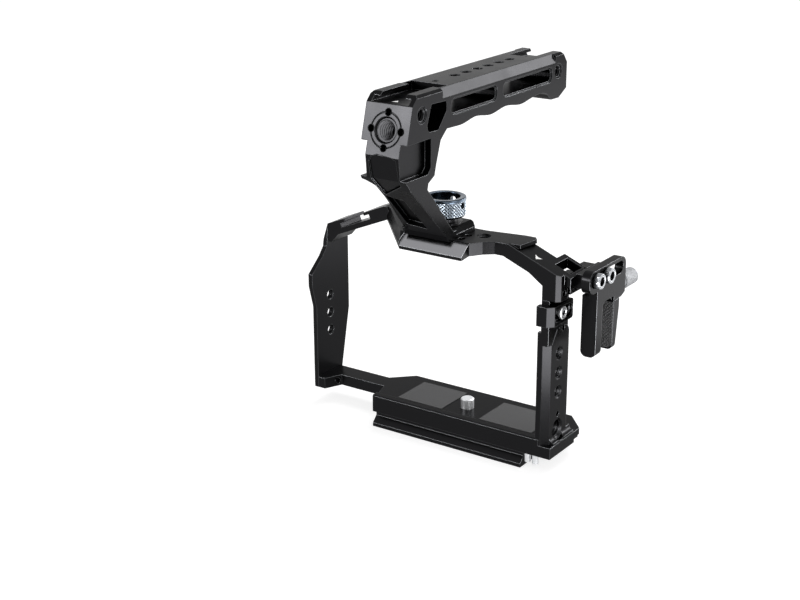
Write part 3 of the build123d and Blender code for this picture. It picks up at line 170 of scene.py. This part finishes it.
def makeMetal(name, colour, roughness):
    # turned or ground metal: a faint fine grain that breaks up the highlights
    look = metalLook
    material, tree, shader, coords = newMaterial(name)
    grain = addNoise(tree, coords, look["grainMm"], look["grainDetail"])
    varyRoughness(tree, shader, grain, roughness * look["smoother"], roughness * look["rougher"])
    addBump(tree, shader, grain, *look["bump"])
    shader.inputs["Base Color"].default_value = hexToLinear(colour)
    shader.inputs["Metallic"].default_value = 1.0
    return material


def makeRubber():
    # moulded silicone rubber: dull, with a soft mottled skin
    look = rubberLook
    material, tree, shader, coords = newMaterial("Moulded silicone rubber")
    skin = addNoise(tree, coords, look["skinMm"], look["skinDetail"])
    varyRoughness(tree, shader, skin, *look["roughness"])
    addBump(tree, shader, skin, *look["bump"])
    shader.inputs["Base Color"].default_value = hexToLinear(look["colour"])
    shader.inputs["IOR"].default_value = look["refraction"]
    return material


def makePaint():
    # laser-etched mark, filled with matt paint
    material, tree, shader, coords = newMaterial("Etched white mark paint")
    varyRoughness(tree, shader, addNoise(tree, coords, paintLook["speckMm"]), *paintLook["roughness"])
    shader.inputs["Base Color"].default_value = hexToLinear(paintLook["colour"])
    return material


def makeKnurledSteel():
    # rolled diamond knurl, blue-grey: the colour runs from dark in the grooves and the bore to light at the
    # points
    look = knurlLook
    material, tree, shader, coords = newMaterial("Diamond-knurled blue-grey steel")
    middle = nodeAxis("handle_knob")[2]
    centred = addNode(tree, "ShaderNodeMapping", {"Location": (-middle.x, -middle.y, 0), "Scale": (1, 1, 0)},
                      Vector=coords)
    radius = addNode(tree, "ShaderNodeVectorMath", {"operation": "LENGTH"}, i0=centred.outputs[0])
    lightToneMask = remap(tree, radius.outputs["Value"], *look["radii"])
    mixTones(tree, shader, look["groove"], look["point"], lightToneMask)
    varyRoughness(tree, shader, addNoise(tree, coords, look["grainMm"]), *look["roughness"])
    shader.inputs["Metallic"].default_value = 1.0
    return material


# a metal's two values are its colour and its middle roughness
anodised = makeAnodisedBlack()
stainless = makeMetal("Turned stainless steel", "#c6c7c9", 0.42)
bluedSteel = makeKnurledSteel()
brightSteel = makeMetal("Polished nickel-plated steel", "#86888b", 0.24)
oxideSteelAndShade = makeMetal("Black-oxide steel and painted socket shade", "#2a2a2c", 0.34)
rimSteel = makeMetal("Blued steel rim", "#4d5762", 0.24)
insertSteel = makeMetal("Dark stainless thread insert", "#77777a", 0.30)
clearAnodised = makeMetal("Clear anodised turned aluminium", "#7a7b7d", 0.45)
rubber = makeRubber()
markPaint = makePaint()

slotMaterials = {
    "black_anodised_aluminium": anodised,
    "stainless_steel": stainless,
    "rubber": rubber,
    "black_steel": oxideSteelAndShade,
    "dark_steel": insertSteel,
    "knurled_steel": bluedSteel,
    "bright_steel": brightSteel,
    "grey_aluminium": clearAnodised,
}
slotOf = {s["node"]: s["material_slot"] for s in frame["record"]["subparts"]}
for nodeName, node in nodes.items():
    for materialSlot in node.material_slots:
        materialSlot.material = slotMaterials[slotOf[nodeName]]
print("materials on", len(nodes), "nodes")


def gridQuads(steps, columns, closeU, closeV=True):
    # cell (i, j) joins points (i, j), (i, j+1), (i+1, j+1), (i+1, j); a closed direction wraps round
    i, j = np.meshgrid(np.arange(steps if closeU else steps - 1),
                       np.arange(columns if closeV else columns - 1), indexing="ij")
    k, l = (i + 1) % steps, (j + 1) % columns
    return np.stack([i * columns + j, i * columns + l, k * columns + l, k * columns + j], -1).reshape(-1, 4)


def gridMesh(name, grid, closeU, material, sharp=35):
    # grid[i, j] holds points over two parameters, closed round the second
    quads = gridQuads(*grid.shape[:2], closeU)
    return quadMesh(name, grid.reshape(-1, 3), quads, material, sharp)


def joinGrids(name, grids, material):
    # several closed ring surfaces in one mesh
    starts = np.cumsum([0] + [len(g) * g.shape[1] for g in grids])
    quads = [gridQuads(*g.shape[:2], True) + start for g, start in zip(grids, starts)]
    points = np.concatenate([g.reshape(-1, 3) for g in grids])
    return quadMesh(name, points, np.concatenate(quads), material, 25)


def quadMesh(name, points, quads, material, sharp=35):
    mesh = bpy.data.meshes.new(name)
    mesh.vertices.add(len(points))
    mesh.vertices.foreach_set("co", np.asarray(points, np.float32).ravel())
    mesh.loops.add(quads.size)
    mesh.loops.foreach_set("vertex_index", quads.astype(np.int32).ravel())
    mesh.polygons.add(len(quads))
    mesh.polygons.foreach_set("loop_start", np.arange(0, quads.size, 4, dtype=np.int32))
    mesh.update(calc_edges=True)
    mesh.validate()
    mesh.shade_smooth()
    mesh.set_sharp_from_angle(angle=math.radians(sharp))
    mesh.materials.append(material)
    obj = bpy.data.objects.new(name, mesh)
    bpy.context.scene.collection.objects.link(obj)
    return obj


def axisFrame(base, direction):
    # rotation whose third column is the direction, placed at base
    turn = Vector(direction).to_track_quat("Z", "Y").to_matrix()
    return np.array(turn), np.array(base, float)


def lathe(profile, turns, base, direction, relief=None):
    # closed ring surface: radius and height from the profile, plus relief(height, angle) added to the radius
    angle = np.linspace(0, 2 * np.pi, turns, endpoint=False)
    radius = np.repeat(profile[:, 0][:, None], turns, 1)
    height = np.repeat(profile[:, 1][:, None], turns, 1)
    if relief is not None:
        radius = radius + relief(height, angle[None, :]) * profile[:, 2][:, None]
    local = np.stack([radius * np.cos(angle), radius * np.sin(angle), height], -1)
    turn, start = axisFrame(base, direction)
    return local @ turn.T + start


def threadWave(pitch):
    # triangle wave that climbs one pitch a turn: crest 1, root 0, each with a narrow flat
    top, slope = threadLook["waveTop"], threadLook["waveSlope"]

    def wave(height, angle):
        phase = (height / pitch - angle / (2 * np.pi)) % 1.0
        return np.clip(top - np.abs(phase - 0.5) * slope, 0, 1)
    return wave


def diamondWave(count, pitch):
    # two crossed helical ridges: the lower of two triangle waves, so pyramids with points of height 1
    def wave(height, angle):
        a = (count * angle / (2 * np.pi) + height / pitch) % 1.0
        b = (count * angle / (2 * np.pi) - height / pitch) % 1.0
        return np.minimum(1 - np.abs(2 * a - 1), 1 - np.abs(2 * b - 1))
    return wave


def rows(r0, z0, r1, z1, count, weight=0.0):
    # straight stretch of profile, with the relief's weight in the third column
    t = np.linspace(0, 1, count)
    return np.stack([r0 + (r1 - r0) * t, z0 + (z1 - z0) * t, np.full(count, weight)], -1)


def faceCentres(obj):
    centres = np.zeros(len(obj.data.polygons) * 3)
    obj.data.polygons.foreach_get("center", centres)
    return centres.reshape(-1, 3)


# handle knob: turned, knurled and cross-drilled
knobLook = {"knurlRidges": 40, "knurlPitch": 1.53 * mm, "knurlDepth": 0.42 * mm, "smoothRim": 1.5 * mm,
            "crossHoles": 2, "holeRadius": 1.5 * mm, "holeLevel": 0.62, "holeSides": 32, "holeReach": 12 * mm,
            "height": 8.8 * mm, "chamfer": 0.7 * mm, "wall": 2.4 * mm, "bore": 7.0 * mm,
            "collarRadius": 6.0 * mm, "rodRadius": 4.76 * mm, "turns": 528}


def makeKnob():
    low, high, middle = nodeAxis("handle_knob")
    outer = (high.x - low.x) / 2
    rodRadius, collarRadius, bore = knobLook["rodRadius"], knobLook["collarRadius"], knobLook["bore"]
    seat = high.z - knobLook["height"]
    rim, top, floor = outer - knobLook["chamfer"], high.z, seat + knobLook["wall"]
    root = outer - knobLook["knurlDepth"]
    knurlTop = top - knobLook["smoothRim"]
    profile = np.concatenate([
        rows(rodRadius, low.z, collarRadius, low.z, 2),
        rows(collarRadius, low.z + 0.01 * mm, collarRadius, seat - 0.01 * mm, 2),
        rows(collarRadius, seat, rim, seat, 2),
        rows(rim + 0.1 * mm, seat + 0.1 * mm, root, seat + knobLook["chamfer"], 3),
        rows(root, seat + 0.75 * mm, root, knurlTop, 74, knobLook["knurlDepth"]),
        rows(outer - 0.02 * mm, knurlTop + 0.12 * mm, outer - 0.02 * mm, top - 0.6 * mm, 3),
        rows(outer - 0.2 * mm, top - 0.2 * mm, rim, top, 3),
        rows(rim - 0.1 * mm, top, bore + 0.4 * mm, top, 2),
        rows(bore + 0.1 * mm, top - 0.15 * mm, bore, top - 0.5 * mm, 3),
        rows(bore, top - 0.6 * mm, bore, floor, 6),
        rows(bore - 0.05 * mm, floor, rodRadius, floor, 2),
    ])
    wave = diamondWave(knobLook["knurlRidges"], knobLook["knurlPitch"])
    grid = lathe(profile, knobLook["turns"], (middle.x, middle.y, 0), (0, 0, 1), wave)
    knob = gridMesh("knurledKnob", grid, True, bluedSteel, 30)
    knob.data.materials.append(oxideSteelAndShade)
    knob.data.materials.append(rimSteel)
    centres = faceCentres(knob)
    radius = np.hypot(centres[:, 0] - middle.x, centres[:, 1] - middle.y)
    collar = (radius < collarRadius + 0.1 * mm) & (centres[:, 2] < seat + 0.01 * mm)
    smooth = (radius > bore + 0.2 * mm) & (centres[:, 2] > knurlTop + 0.05 * mm)
    knob.data.polygons.foreach_set("material_index", (collar + 2 * smooth).astype(np.int32))
    cutters = []
    reach, holeRadius = knobLook["holeReach"], knobLook["holeRadius"]
    hole = rows(holeRadius, -reach, holeRadius, reach, 2)
    centre = (middle.x, middle.y, seat + knobLook["height"] * knobLook["holeLevel"])
    for turn in np.arange(knobLook["crossHoles"]) * math.pi / knobLook["crossHoles"]:
        way = (math.cos(turn), math.sin(turn), 0)
        ring = lathe(hole, knobLook["holeSides"], centre, way)
        cutter = gridMesh("holeCutter", ring, False, bluedSteel)
        closeEnds(cutter, knobLook["holeSides"])
        cutters.append(cutter)
    for cutter in cutters:
        cut = knob.modifiers.new("crossHole", "BOOLEAN")
        cut.operation, cut.solver, cut.object = "DIFFERENCE", "EXACT", cutter
    bakeModifiers(knob)
    for cutter in cutters:
        bpy.data.objects.remove(cutter)
    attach(knob, "knob")
    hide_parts("handle_knob")


def closeEnds(obj, count):
    # two flat caps on an open ring surface
    mesh = obj.data
    points = np.zeros(len(mesh.vertices) * 3)
    mesh.vertices.foreach_get("co", points)
    quads = [list(p.vertices) for p in mesh.polygons]
    last = len(mesh.vertices) - count
    quads += [list(range(count))[::-1], list(range(last, last + count))]
    fresh = bpy.data.meshes.new(mesh.name)
    fresh.from_pydata(points.reshape(-1, 3).tolist(), [], quads)
    obj.data = fresh
    fixNormals(obj)


def fixNormals(obj):
    work = bmesh.new()
    work.from_mesh(obj.data)
    bmesh.ops.recalc_face_normals(work, faces=work.faces)
    work.to_mesh(obj.data)
    work.free()


def bakeModifiers(obj):
    # the modifiers' result becomes the mesh
    bpy.context.view_layer.update()
    done = bpy.data.meshes.new_from_object(obj.evaluated_get(bpy.context.evaluated_depsgraph_get()))
    obj.modifiers.clear()
    obj.data = done


makeKnob()
print("knob done")


# threads of the accessory holes and the head's insert
threadLook = {"quarterPitch": 1.27 * mm, "largePitch": 1.5875 * mm, "crestIn": 0.28 * mm, "rootIn": 0.03 * mm,
              "wall": 0.05 * mm, "endGap": 0.15 * mm, "perPitch": 10, "leastRows": 12, "turns": 40,
              "waveTop": 1.35, "waveSlope": 3.0, "largeFrom": 3 * mm,
              "insertCrest": 4.0 * mm, "insertRoot": 4.72 * mm, "insertOuter": 5.08 * mm}


def threadRows(pitch, length):
    return max(int(length / pitch * threadLook["perPitch"]), threadLook["leastRows"])


def innerThread(base, direction, length, crest, root, outer, pitch):
    # tube whose inner wall is a helical triangle thread; base is its deep end
    wave = threadWave(pitch)
    inner = rows(root, length, root, 0, threadRows(pitch, length), crest - root)
    profile = np.concatenate([rows(outer, 0, outer, length, 2), inner])
    return lathe(profile, threadLook["turns"], base, direction, wave)


def makeAccessoryThreads():
    grids = []
    for mount in frame["record"]["mounts"]:
        if mount["kind"] != "threaded_hole" or mount["name"] == "head_threaded_hole":
            continue
        axis, middle = np.array(mount["axis"]), np.array(mount["pos_m"])
        radius, length = mount["dims"]["r_mm"] * mm, mount["dims"]["length_mm"] * mm
        large = radius > threadLook["largeFrom"]
        pitch = threadLook["largePitch"] if large else threadLook["quarterPitch"]
        length -= 2 * threadLook["endGap"]
        base = middle - axis * length / 2
        tip = base + axis * length
        length -= max(0, tip[2] - cadBox[1][2] + threadLook["endGap"])    # ends below the handle's top face
        crest, root = radius - threadLook["crestIn"], radius - threadLook["rootIn"]
        grids.append(innerThread(base, axis, length, crest, root, radius + threadLook["wall"], pitch))
    threads = joinGrids("accessoryThreads", grids, anodised)
    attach(threads, "cage")


def makeHeadInsert():
    mount = next(m for m in frame["record"]["mounts"] if m["name"] == "head_threaded_hole")
    axis, middle = np.array(mount["axis"]), np.array(mount["pos_m"])
    length = mount["dims"]["length_mm"] * mm
    base = middle - axis * length / 2
    grid = innerThread(base, axis, length, threadLook["insertCrest"], threadLook["insertRoot"],
                       threadLook["insertOuter"], threadLook["largePitch"])
    insert = gridMesh("headThreadInsert", grid, True, insertSteel, 25)
    insert.data.materials.append(anodised)
    ends = np.abs((faceCentres(insert) - middle) @ axis) > length / 2 - 0.01 * mm
    insert.data.polygons.foreach_set("material_index", ends.astype(np.int32))
    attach(insert, "cage")
    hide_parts("thread_insert")


makeAccessoryThreads()
makeHeadInsert()
print("threads done")


# screw heads that show; lengths in mm
screwLook = {
    "turns": 120, "socketDepth": 0.6,
    "clamp": {"shank": 2.5, "head": 3.5, "headHeight": 2.7, "socket": 2.3, "ridges": 30, "ridgeMm": 0.14},
    "clip": {"shank": 1.5, "head": 2.9, "headHeight": 1.6, "socket": 1.3, "ridges": 0, "ridgeMm": 0.0},
}


def hexWave(height, angle):
    # how far a hexagon's side lies beyond its inner circle: 0 at the flats, 1 at the corners
    off = np.abs((angle + np.pi / 6) % (np.pi / 3) - np.pi / 6)
    return np.repeat((1 / np.cos(off) - 1) / (1 / math.cos(math.pi / 6) - 1), height.shape[0], 0)


def ridgeWave(count):
    def wave(height, angle):
        return np.repeat(np.abs(2 * ((count * angle / (2 * np.pi)) % 1.0) - 1), height.shape[0], 0)
    return wave


def screwGrid(look, base, length):
    # head with rolled ridges, a turned ring in its face and a hexagon socket; heights from the tip along +X
    turns = screwLook["turns"]
    shank, head, top = look["shank"] * mm, look["head"] * mm, length
    seat = top - look["headHeight"] * mm
    flat = look["socket"] * math.cos(math.pi / 6) * mm
    floor = top - look["headHeight"] * mm * screwLook["socketDepth"]
    corner = flat * (1 / math.cos(math.pi / 6) - 1)
    ridge = look["ridgeMm"] * mm
    # each stretch of profile with its relief and its tone: 1 is painted shade, the dark steel put in the
    # head's ring groove and the socket
    parts = [
        (rows(0.02 * mm, 0, shank - 0.3 * mm, 0, 2), None, 0),
        (rows(shank, 0.3 * mm, shank, seat, 2), None, 0),
        (rows(shank + 0.02 * mm, seat, head - 0.25 * mm, seat, 2), None, 0),
        (rows(head - ridge, seat + 0.25 * mm, head - ridge, top - 0.45 * mm, 8, ridge), "ridge", 0),
        (rows(head - 0.02 * mm, top - 0.36 * mm, head - 0.3 * mm, top - 0.03 * mm, 4), None, 0),
        (rows(head - 0.42 * mm, top, head - 0.55 * mm, top, 2), None, 0),
        (rows(head - 0.62 * mm, top - 0.10 * mm, head - 0.80 * mm, top - 0.10 * mm, 2), None, 1),
        (rows(head - 0.88 * mm, top, flat + 0.22 * mm, top, 2), None, 0),
        (rows(flat, top - 0.12 * mm, flat, floor, 4, corner), "hex", 1),
        (rows(flat * 0.96, floor - 0.02 * mm, 0.02 * mm, floor - 0.15 * mm, 3, 0), None, 1),
    ]
    angle = np.linspace(0, 2 * np.pi, turns, endpoint=False)[None, :]
    radius, height, tone = [], [], []
    for profile, relief, shade in parts:
        r = np.repeat(profile[:, 0][:, None], turns, 1)
        h = np.repeat(profile[:, 1][:, None], turns, 1)
        if relief == "ridge" and look["ridges"]:
            r = r + ridgeWave(look["ridges"])(h, angle) * profile[:, 2][:, None]
        if relief == "hex":
            r = r + hexWave(h, angle) * profile[:, 2][:, None]
        radius.append(r)
        height.append(h)
        tone += [shade] * len(profile)
    radius, height = np.concatenate(radius), np.concatenate(height)
    local = np.stack([height, radius * np.cos(angle), radius * np.sin(angle)], -1)
    return local + np.array(base), np.array(tone)


def makeScrews(name, node, body, look, material, count):
    low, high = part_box(node)
    inset = look["head"] * mm
    middles = [(low.y + high.y) / 2] if count == 1 else [low.y + inset, high.y - inset]
    made = [screwGrid(look, (low.x, y, (low.z + high.z) / 2), high.x - low.x) for y in middles]
    obj = joinGrids(name, [m[0] for m in made], material)
    # the second material paints shade into the ring groove and the hexagon socket
    obj.data.materials.append(oxideSteelAndShade)
    tone = np.concatenate([np.repeat(m[1], screwLook["turns"]) for m in made])
    obj.data.polygons.foreach_set("material_index", tone)
    fixNormals(obj)
    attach(obj, body)
    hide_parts(node)


makeScrews("clampScrewHeads", "clamp_slot_screws", "cage", screwLook["clamp"], brightSteel, 2)
makeScrews("clipScrewHead", "clip_screw", "cage", screwLook["clip"], stainless, 1)
print("screws done")


# index marks, as outlines in mm on the faces that carry them
markLook = {"thickMm": 0.04,
            "shoe": [(-4.4, -54.8, 169.9), (-3.4, -51.7, 169.9), (-1.6, -54.4, 169.9)],
            "shoulder": [(42.3, -13.3, 100.69), (44.0, -14.2, 99.99), (45.9, -13.5, 99.22),
                         (44.3, -16.6, 99.87)]}


def makeMark(name, points):
    # flat outline, lifted off its face by the paint's thickness
    p = np.array(points) * mm
    normal = np.cross(p[1] - p[0], p[2] - p[0])
    normal *= np.sign(normal[2]) / np.linalg.norm(normal)
    top, count = p + normal * markLook["thickMm"] * mm, len(p)
    mesh = bpy.data.meshes.new(name)
    sides = [(i, (i + 1) % count, (i + 1) % count + count, i + count) for i in range(count)]
    lids = [tuple(range(count))[::-1], tuple(range(count, 2 * count))]
    mesh.from_pydata(np.concatenate([p, top]).tolist(), [], lids + sides)
    mesh.materials.append(markPaint)
    obj = bpy.data.objects.new(name, mesh)
    bpy.context.scene.collection.objects.link(obj)
    fixNormals(obj)
    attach(obj, "cage")


makeMark("shoeIndexMark", markLook["shoe"])
makeMark("shoulderIndexMark", markLook["shoulder"])
print("marks done")


# the cable clamp's thumb knob
thumbLook = {"knurlRidges": 44, "knurlPitch": 0.62 * mm, "knurlDepth": 0.16 * mm, "hub": 3.0 * mm,
             "bore": 1.5 * mm, "hubLength": 2.6 * mm, "boreEnd": 6.8 * mm, "turns": 352}


def makeThumbKnob():
    low, high, middle = nodeAxis("thumb_knob")
    outer, hub, bore = (high.x - low.x) / 2, thumbLook["hub"], thumbLook["bore"]
    start, end = thumbLook["hubLength"], high.y - low.y
    root = outer - thumbLook["knurlDepth"]
    profile = np.concatenate([
        rows(bore, 0, hub, 0, 2),
        rows(hub, 0.01 * mm, hub, start, 2),
        rows(hub + 0.05 * mm, start + 0.01 * mm, outer - 0.5 * mm, start + 0.02 * mm, 2),
        rows(root, start + 0.5 * mm, root, end - 0.9 * mm, 84, thumbLook["knurlDepth"]),
        rows(outer - 0.05 * mm, end - 0.75 * mm, outer - 0.05 * mm, end - 0.5 * mm, 2),
        rows(outer - 0.2 * mm, end - 0.2 * mm, outer - 0.5 * mm, end, 2),
        rows(outer - 0.7 * mm, end, 2.6 * mm, end, 2),
        rows(2.5 * mm, end - 0.3 * mm, 0.02 * mm, end - 0.32 * mm, 2),
        rows(0.02 * mm, end - thumbLook["boreEnd"], bore, end - thumbLook["boreEnd"], 2),
    ])
    wave = diamondWave(thumbLook["knurlRidges"], thumbLook["knurlPitch"])
    grid = lathe(profile, thumbLook["turns"], (middle.x, low.y, middle.z), (0, 1, 0), wave)
    knob = gridMesh("knurledThumbKnob", grid, True, clearAnodised, 30)
    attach(knob, "thumb")
    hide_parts("thumb_knob")


makeThumbKnob()
print("thumb knob done")


# pads on the cable clamp's jaws
padLook = {"pitch": 1.6 * mm, "depth": 0.42 * mm, "corner": 1.6 * mm, "plainEdge": 0.12 * mm,
           "stepsPerDiamond": 8}


def makePad(name, node, body, side):
    # box with one face raised in pyramids: height = the lower of two crossed triangle waves
    low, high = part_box(node)
    width, height = high.x - low.x, high.z - low.z
    step = padLook["pitch"] / padLook["stepsPerDiamond"]
    nx, nz = int(width / step) + 1, int(height / step) + 1
    u, v = np.meshgrid(np.linspace(0, width, nx), np.linspace(0, height, nz), indexing="ij")
    a = ((u + v) / padLook["pitch"]) % 1.0
    b = ((u - v) / padLook["pitch"]) % 1.0
    bump = np.minimum(1 - np.abs(2 * a - 1), 1 - np.abs(2 * b - 1))
    fromSide = np.minimum(u, width - u)
    inset = np.minimum(fromSide, np.minimum(v, height - v)) > padLook["plainEdge"]
    cut = np.maximum(padLook["corner"] - fromSide, 0)    # lower corners, cut at 45 degrees
    v = cut + v * (height - cut) / height
    face = high.y if side > 0 else low.y
    back = low.y if side > 0 else high.y
    y = face - side * padLook["depth"] * (1 - bump * inset)
    front = np.stack([low.x + u, y, low.z + v], -1)
    rear = np.stack([low.x + u, np.full_like(u, back), low.z + v], -1)
    points = np.concatenate([front.reshape(-1, 3), rear.reshape(-1, 3)])
    cell = np.roll(gridQuads(nx, nz, False, False)[:, ::-1], 1, axis=1)
    border = np.concatenate([np.arange(nx) * nz, (nx - 1) * nz + np.arange(1, nz),
                             np.arange(nx - 2, -1, -1) * nz + nz - 1, np.arange(nz - 2, 0, -1)])
    following = np.roll(border, -1)
    total = nx * nz
    wall = np.stack([border, following, following + total, border + total], -1)
    quads = np.concatenate([cell, cell[:, ::-1] + total, wall[:, ::-1]])
    pad = quadMesh(name, points, quads, rubber, 20)
    fixNormals(pad)
    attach(pad, body)
    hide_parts(node)


makePad("fixedJawPad", "fixed_jaw_pad", "clamp", 1)
makePad("movingJawPad", "moving_jaw_pad", "jaw", -1)
print("pads done")


# floor, world, lamps and camera
stageLook = {"white": "#ffffff", "floorBase": "#b0b0b0", "floorGlow": 0.8, "half": 6.0, "drop": 0.0002,
             "worldLight": 0.45, "worldSeen": 1.0}
# softboxes: place, what they face, size in metres, watts
softboxes = {
    "topSoftbox": ((0.1, 0.5, 1.1), (0, 0, 0.1), (0.9, 0.6), 9),
    "sideSoftbox": ((1.0, -0.1, 0.6), (0, 0, 0.1), (0.5, 0.8), 3),
}
# lamps seen only in reflections: target, direction, distance, size, radiance, spread in degrees
glossLamps = {
    "headSoftbox": ((0, -0.06, 0.165), (-0.563, -0.803, 0.26), 1.3, (0.5, 0.32), 38, 180),
    "browCard": ((0.0015, -0.0318, 0.10275), (0, -0.478, 0.878), 0.0018, (0.036, 0.0095), 22, 136),
    "backRightSoftbox": ((0, 0, 0.17), (0.48, 0.843, 0.27), 1.2, (0.4, 0.3), 24, 180),
    "lowBackSoftbox": ((0.05, 0.02, 0.1), (0.44, 0.83, -0.17), 0.15, (0.2, 0.14), 2.4, 180),
    "lowFrontSoftbox": ((0.06, -0.02, 0.065), (0.86, -0.46, -0.24), 0.08, (0.06, 0.07), 16, 180),
}
# the camera: place, its turns about Z, X and Z in degrees, and its lens
cameraLook = {"place": (0.3452, -0.5534, 0.2979), "azimuth": 34.76, "tilt": 90 - 19.47, "roll": -0.26,
              "sensor": 36, "lens": 36 * 1486.6 / 800, "clip": (0.01, 50)}


def whiteRays(tree):
    # 1 for the rays that should see plain white: camera, glossy and transmission
    path = addNode(tree, "ShaderNodeLightPath")
    seen = path.outputs["Is Camera Ray"]
    for kind in ("Is Glossy Ray", "Is Transmission Ray"):
        larger = addNode(tree, "ShaderNodeMath", {"operation": "MAXIMUM"}, i0=seen, i1=path.outputs[kind])
        seen = larger.outputs[0]
    return seen


def makeFloor():
    mesh = bpy.data.meshes.new("studioFloor")
    h, z = stageLook["half"], -stageLook["drop"]
    mesh.from_pydata([(-h, -h, z), (h, -h, z), (h, h, z), (-h, h, z)], [], [(0, 1, 2, 3)])
    floor = bpy.data.objects.new("studioFloor", mesh)
    bpy.context.scene.collection.objects.link(floor)
    material = bpy.data.materials.new("White studio floor")
    material.use_nodes = True
    tree = material.node_tree
    tree.nodes.clear()
    glow = addNode(tree, "ShaderNodeMath", {"operation": "MULTIPLY", 1: stageLook["floorGlow"]},
                   i0=whiteRays(tree))
    light = addNode(tree, "ShaderNodeEmission", {"Color": hexToLinear(stageLook["white"])},
                    Strength=glow.outputs[0])
    base = addNode(tree, "ShaderNodeBsdfDiffuse", {"Color": hexToLinear(stageLook["floorBase"])})
    both = addNode(tree, "ShaderNodeAddShader", {}, i0=light.outputs[0], i1=base.outputs[0])
    out = addNode(tree, "ShaderNodeOutputMaterial", {}, Surface=both.outputs[0])
    mesh.materials.append(material)


def makeWorld():
    world = bpy.data.worlds.new("white studio")
    bpy.context.scene.world = world
    world.use_nodes = True
    tree = world.node_tree
    tree.nodes.clear()
    level = remap(tree, whiteRays(tree), 0.0, 1.0, stageLook["worldLight"], stageLook["worldSeen"])
    sky = addNode(tree, "ShaderNodeBackground", {"Color": hexToLinear(stageLook["white"])}, Strength=level)
    addNode(tree, "ShaderNodeOutputWorld", {}, Surface=sky.outputs[0])


def areaLight(name, place, target, size, watts, glossOnly=False, spread=180):
    # glossOnly lamps show only as reflections in the metal, so the white floor keeps its level
    lamp = bpy.data.lights.new(name, "AREA")
    lamp.shape, lamp.size, lamp.size_y, lamp.energy = "RECTANGLE", size[0], size[1], watts
    obj = bpy.data.objects.new(name, lamp)
    aim = (Vector(target) - Vector(place)).to_track_quat("-Z", "Y")
    obj.matrix_world = Matrix.Translation(place) @ aim.to_matrix().to_4x4()
    lamp.spread = math.radians(spread)
    obj.visible_camera = False
    obj.visible_diffuse = not glossOnly
    bpy.context.scene.collection.objects.link(obj)


def glossLamp(name, target, direction, distance, size, radiance, spread):
    # softbox seen from target along direction; watts = radiance * pi * area
    place = Vector(target) + Vector(direction).normalized() * distance
    areaLight(name, place, target, size, radiance * math.pi * size[0] * size[1], True, spread)


def makeCamera():
    # the view solved from the object's own straight edges
    turn = (Matrix.Rotation(math.radians(cameraLook["azimuth"]), 4, "Z")
            @ Matrix.Rotation(math.radians(cameraLook["tilt"]), 4, "X")
            @ Matrix.Rotation(math.radians(cameraLook["roll"]), 4, "Z"))
    lens = bpy.data.cameras.new("camera")
    lens.sensor_width, lens.lens = cameraLook["sensor"], cameraLook["lens"]
    lens.clip_start, lens.clip_end = cameraLook["clip"]
    obj = bpy.data.objects.new("camera", lens)
    obj.matrix_world = Matrix.Translation(cameraLook["place"]) @ turn
    bpy.context.scene.collection.objects.link(obj)
    bpy.context.scene.camera = obj


makeFloor()
makeWorld()
makeCamera()
for lampName, lamp in softboxes.items():
    areaLight(lampName, *lamp)
for lampName, lamp in glossLamps.items():
    glossLamp(lampName, *lamp)
bpy.context.scene.view_settings.view_transform = "Standard"
print("stage done")
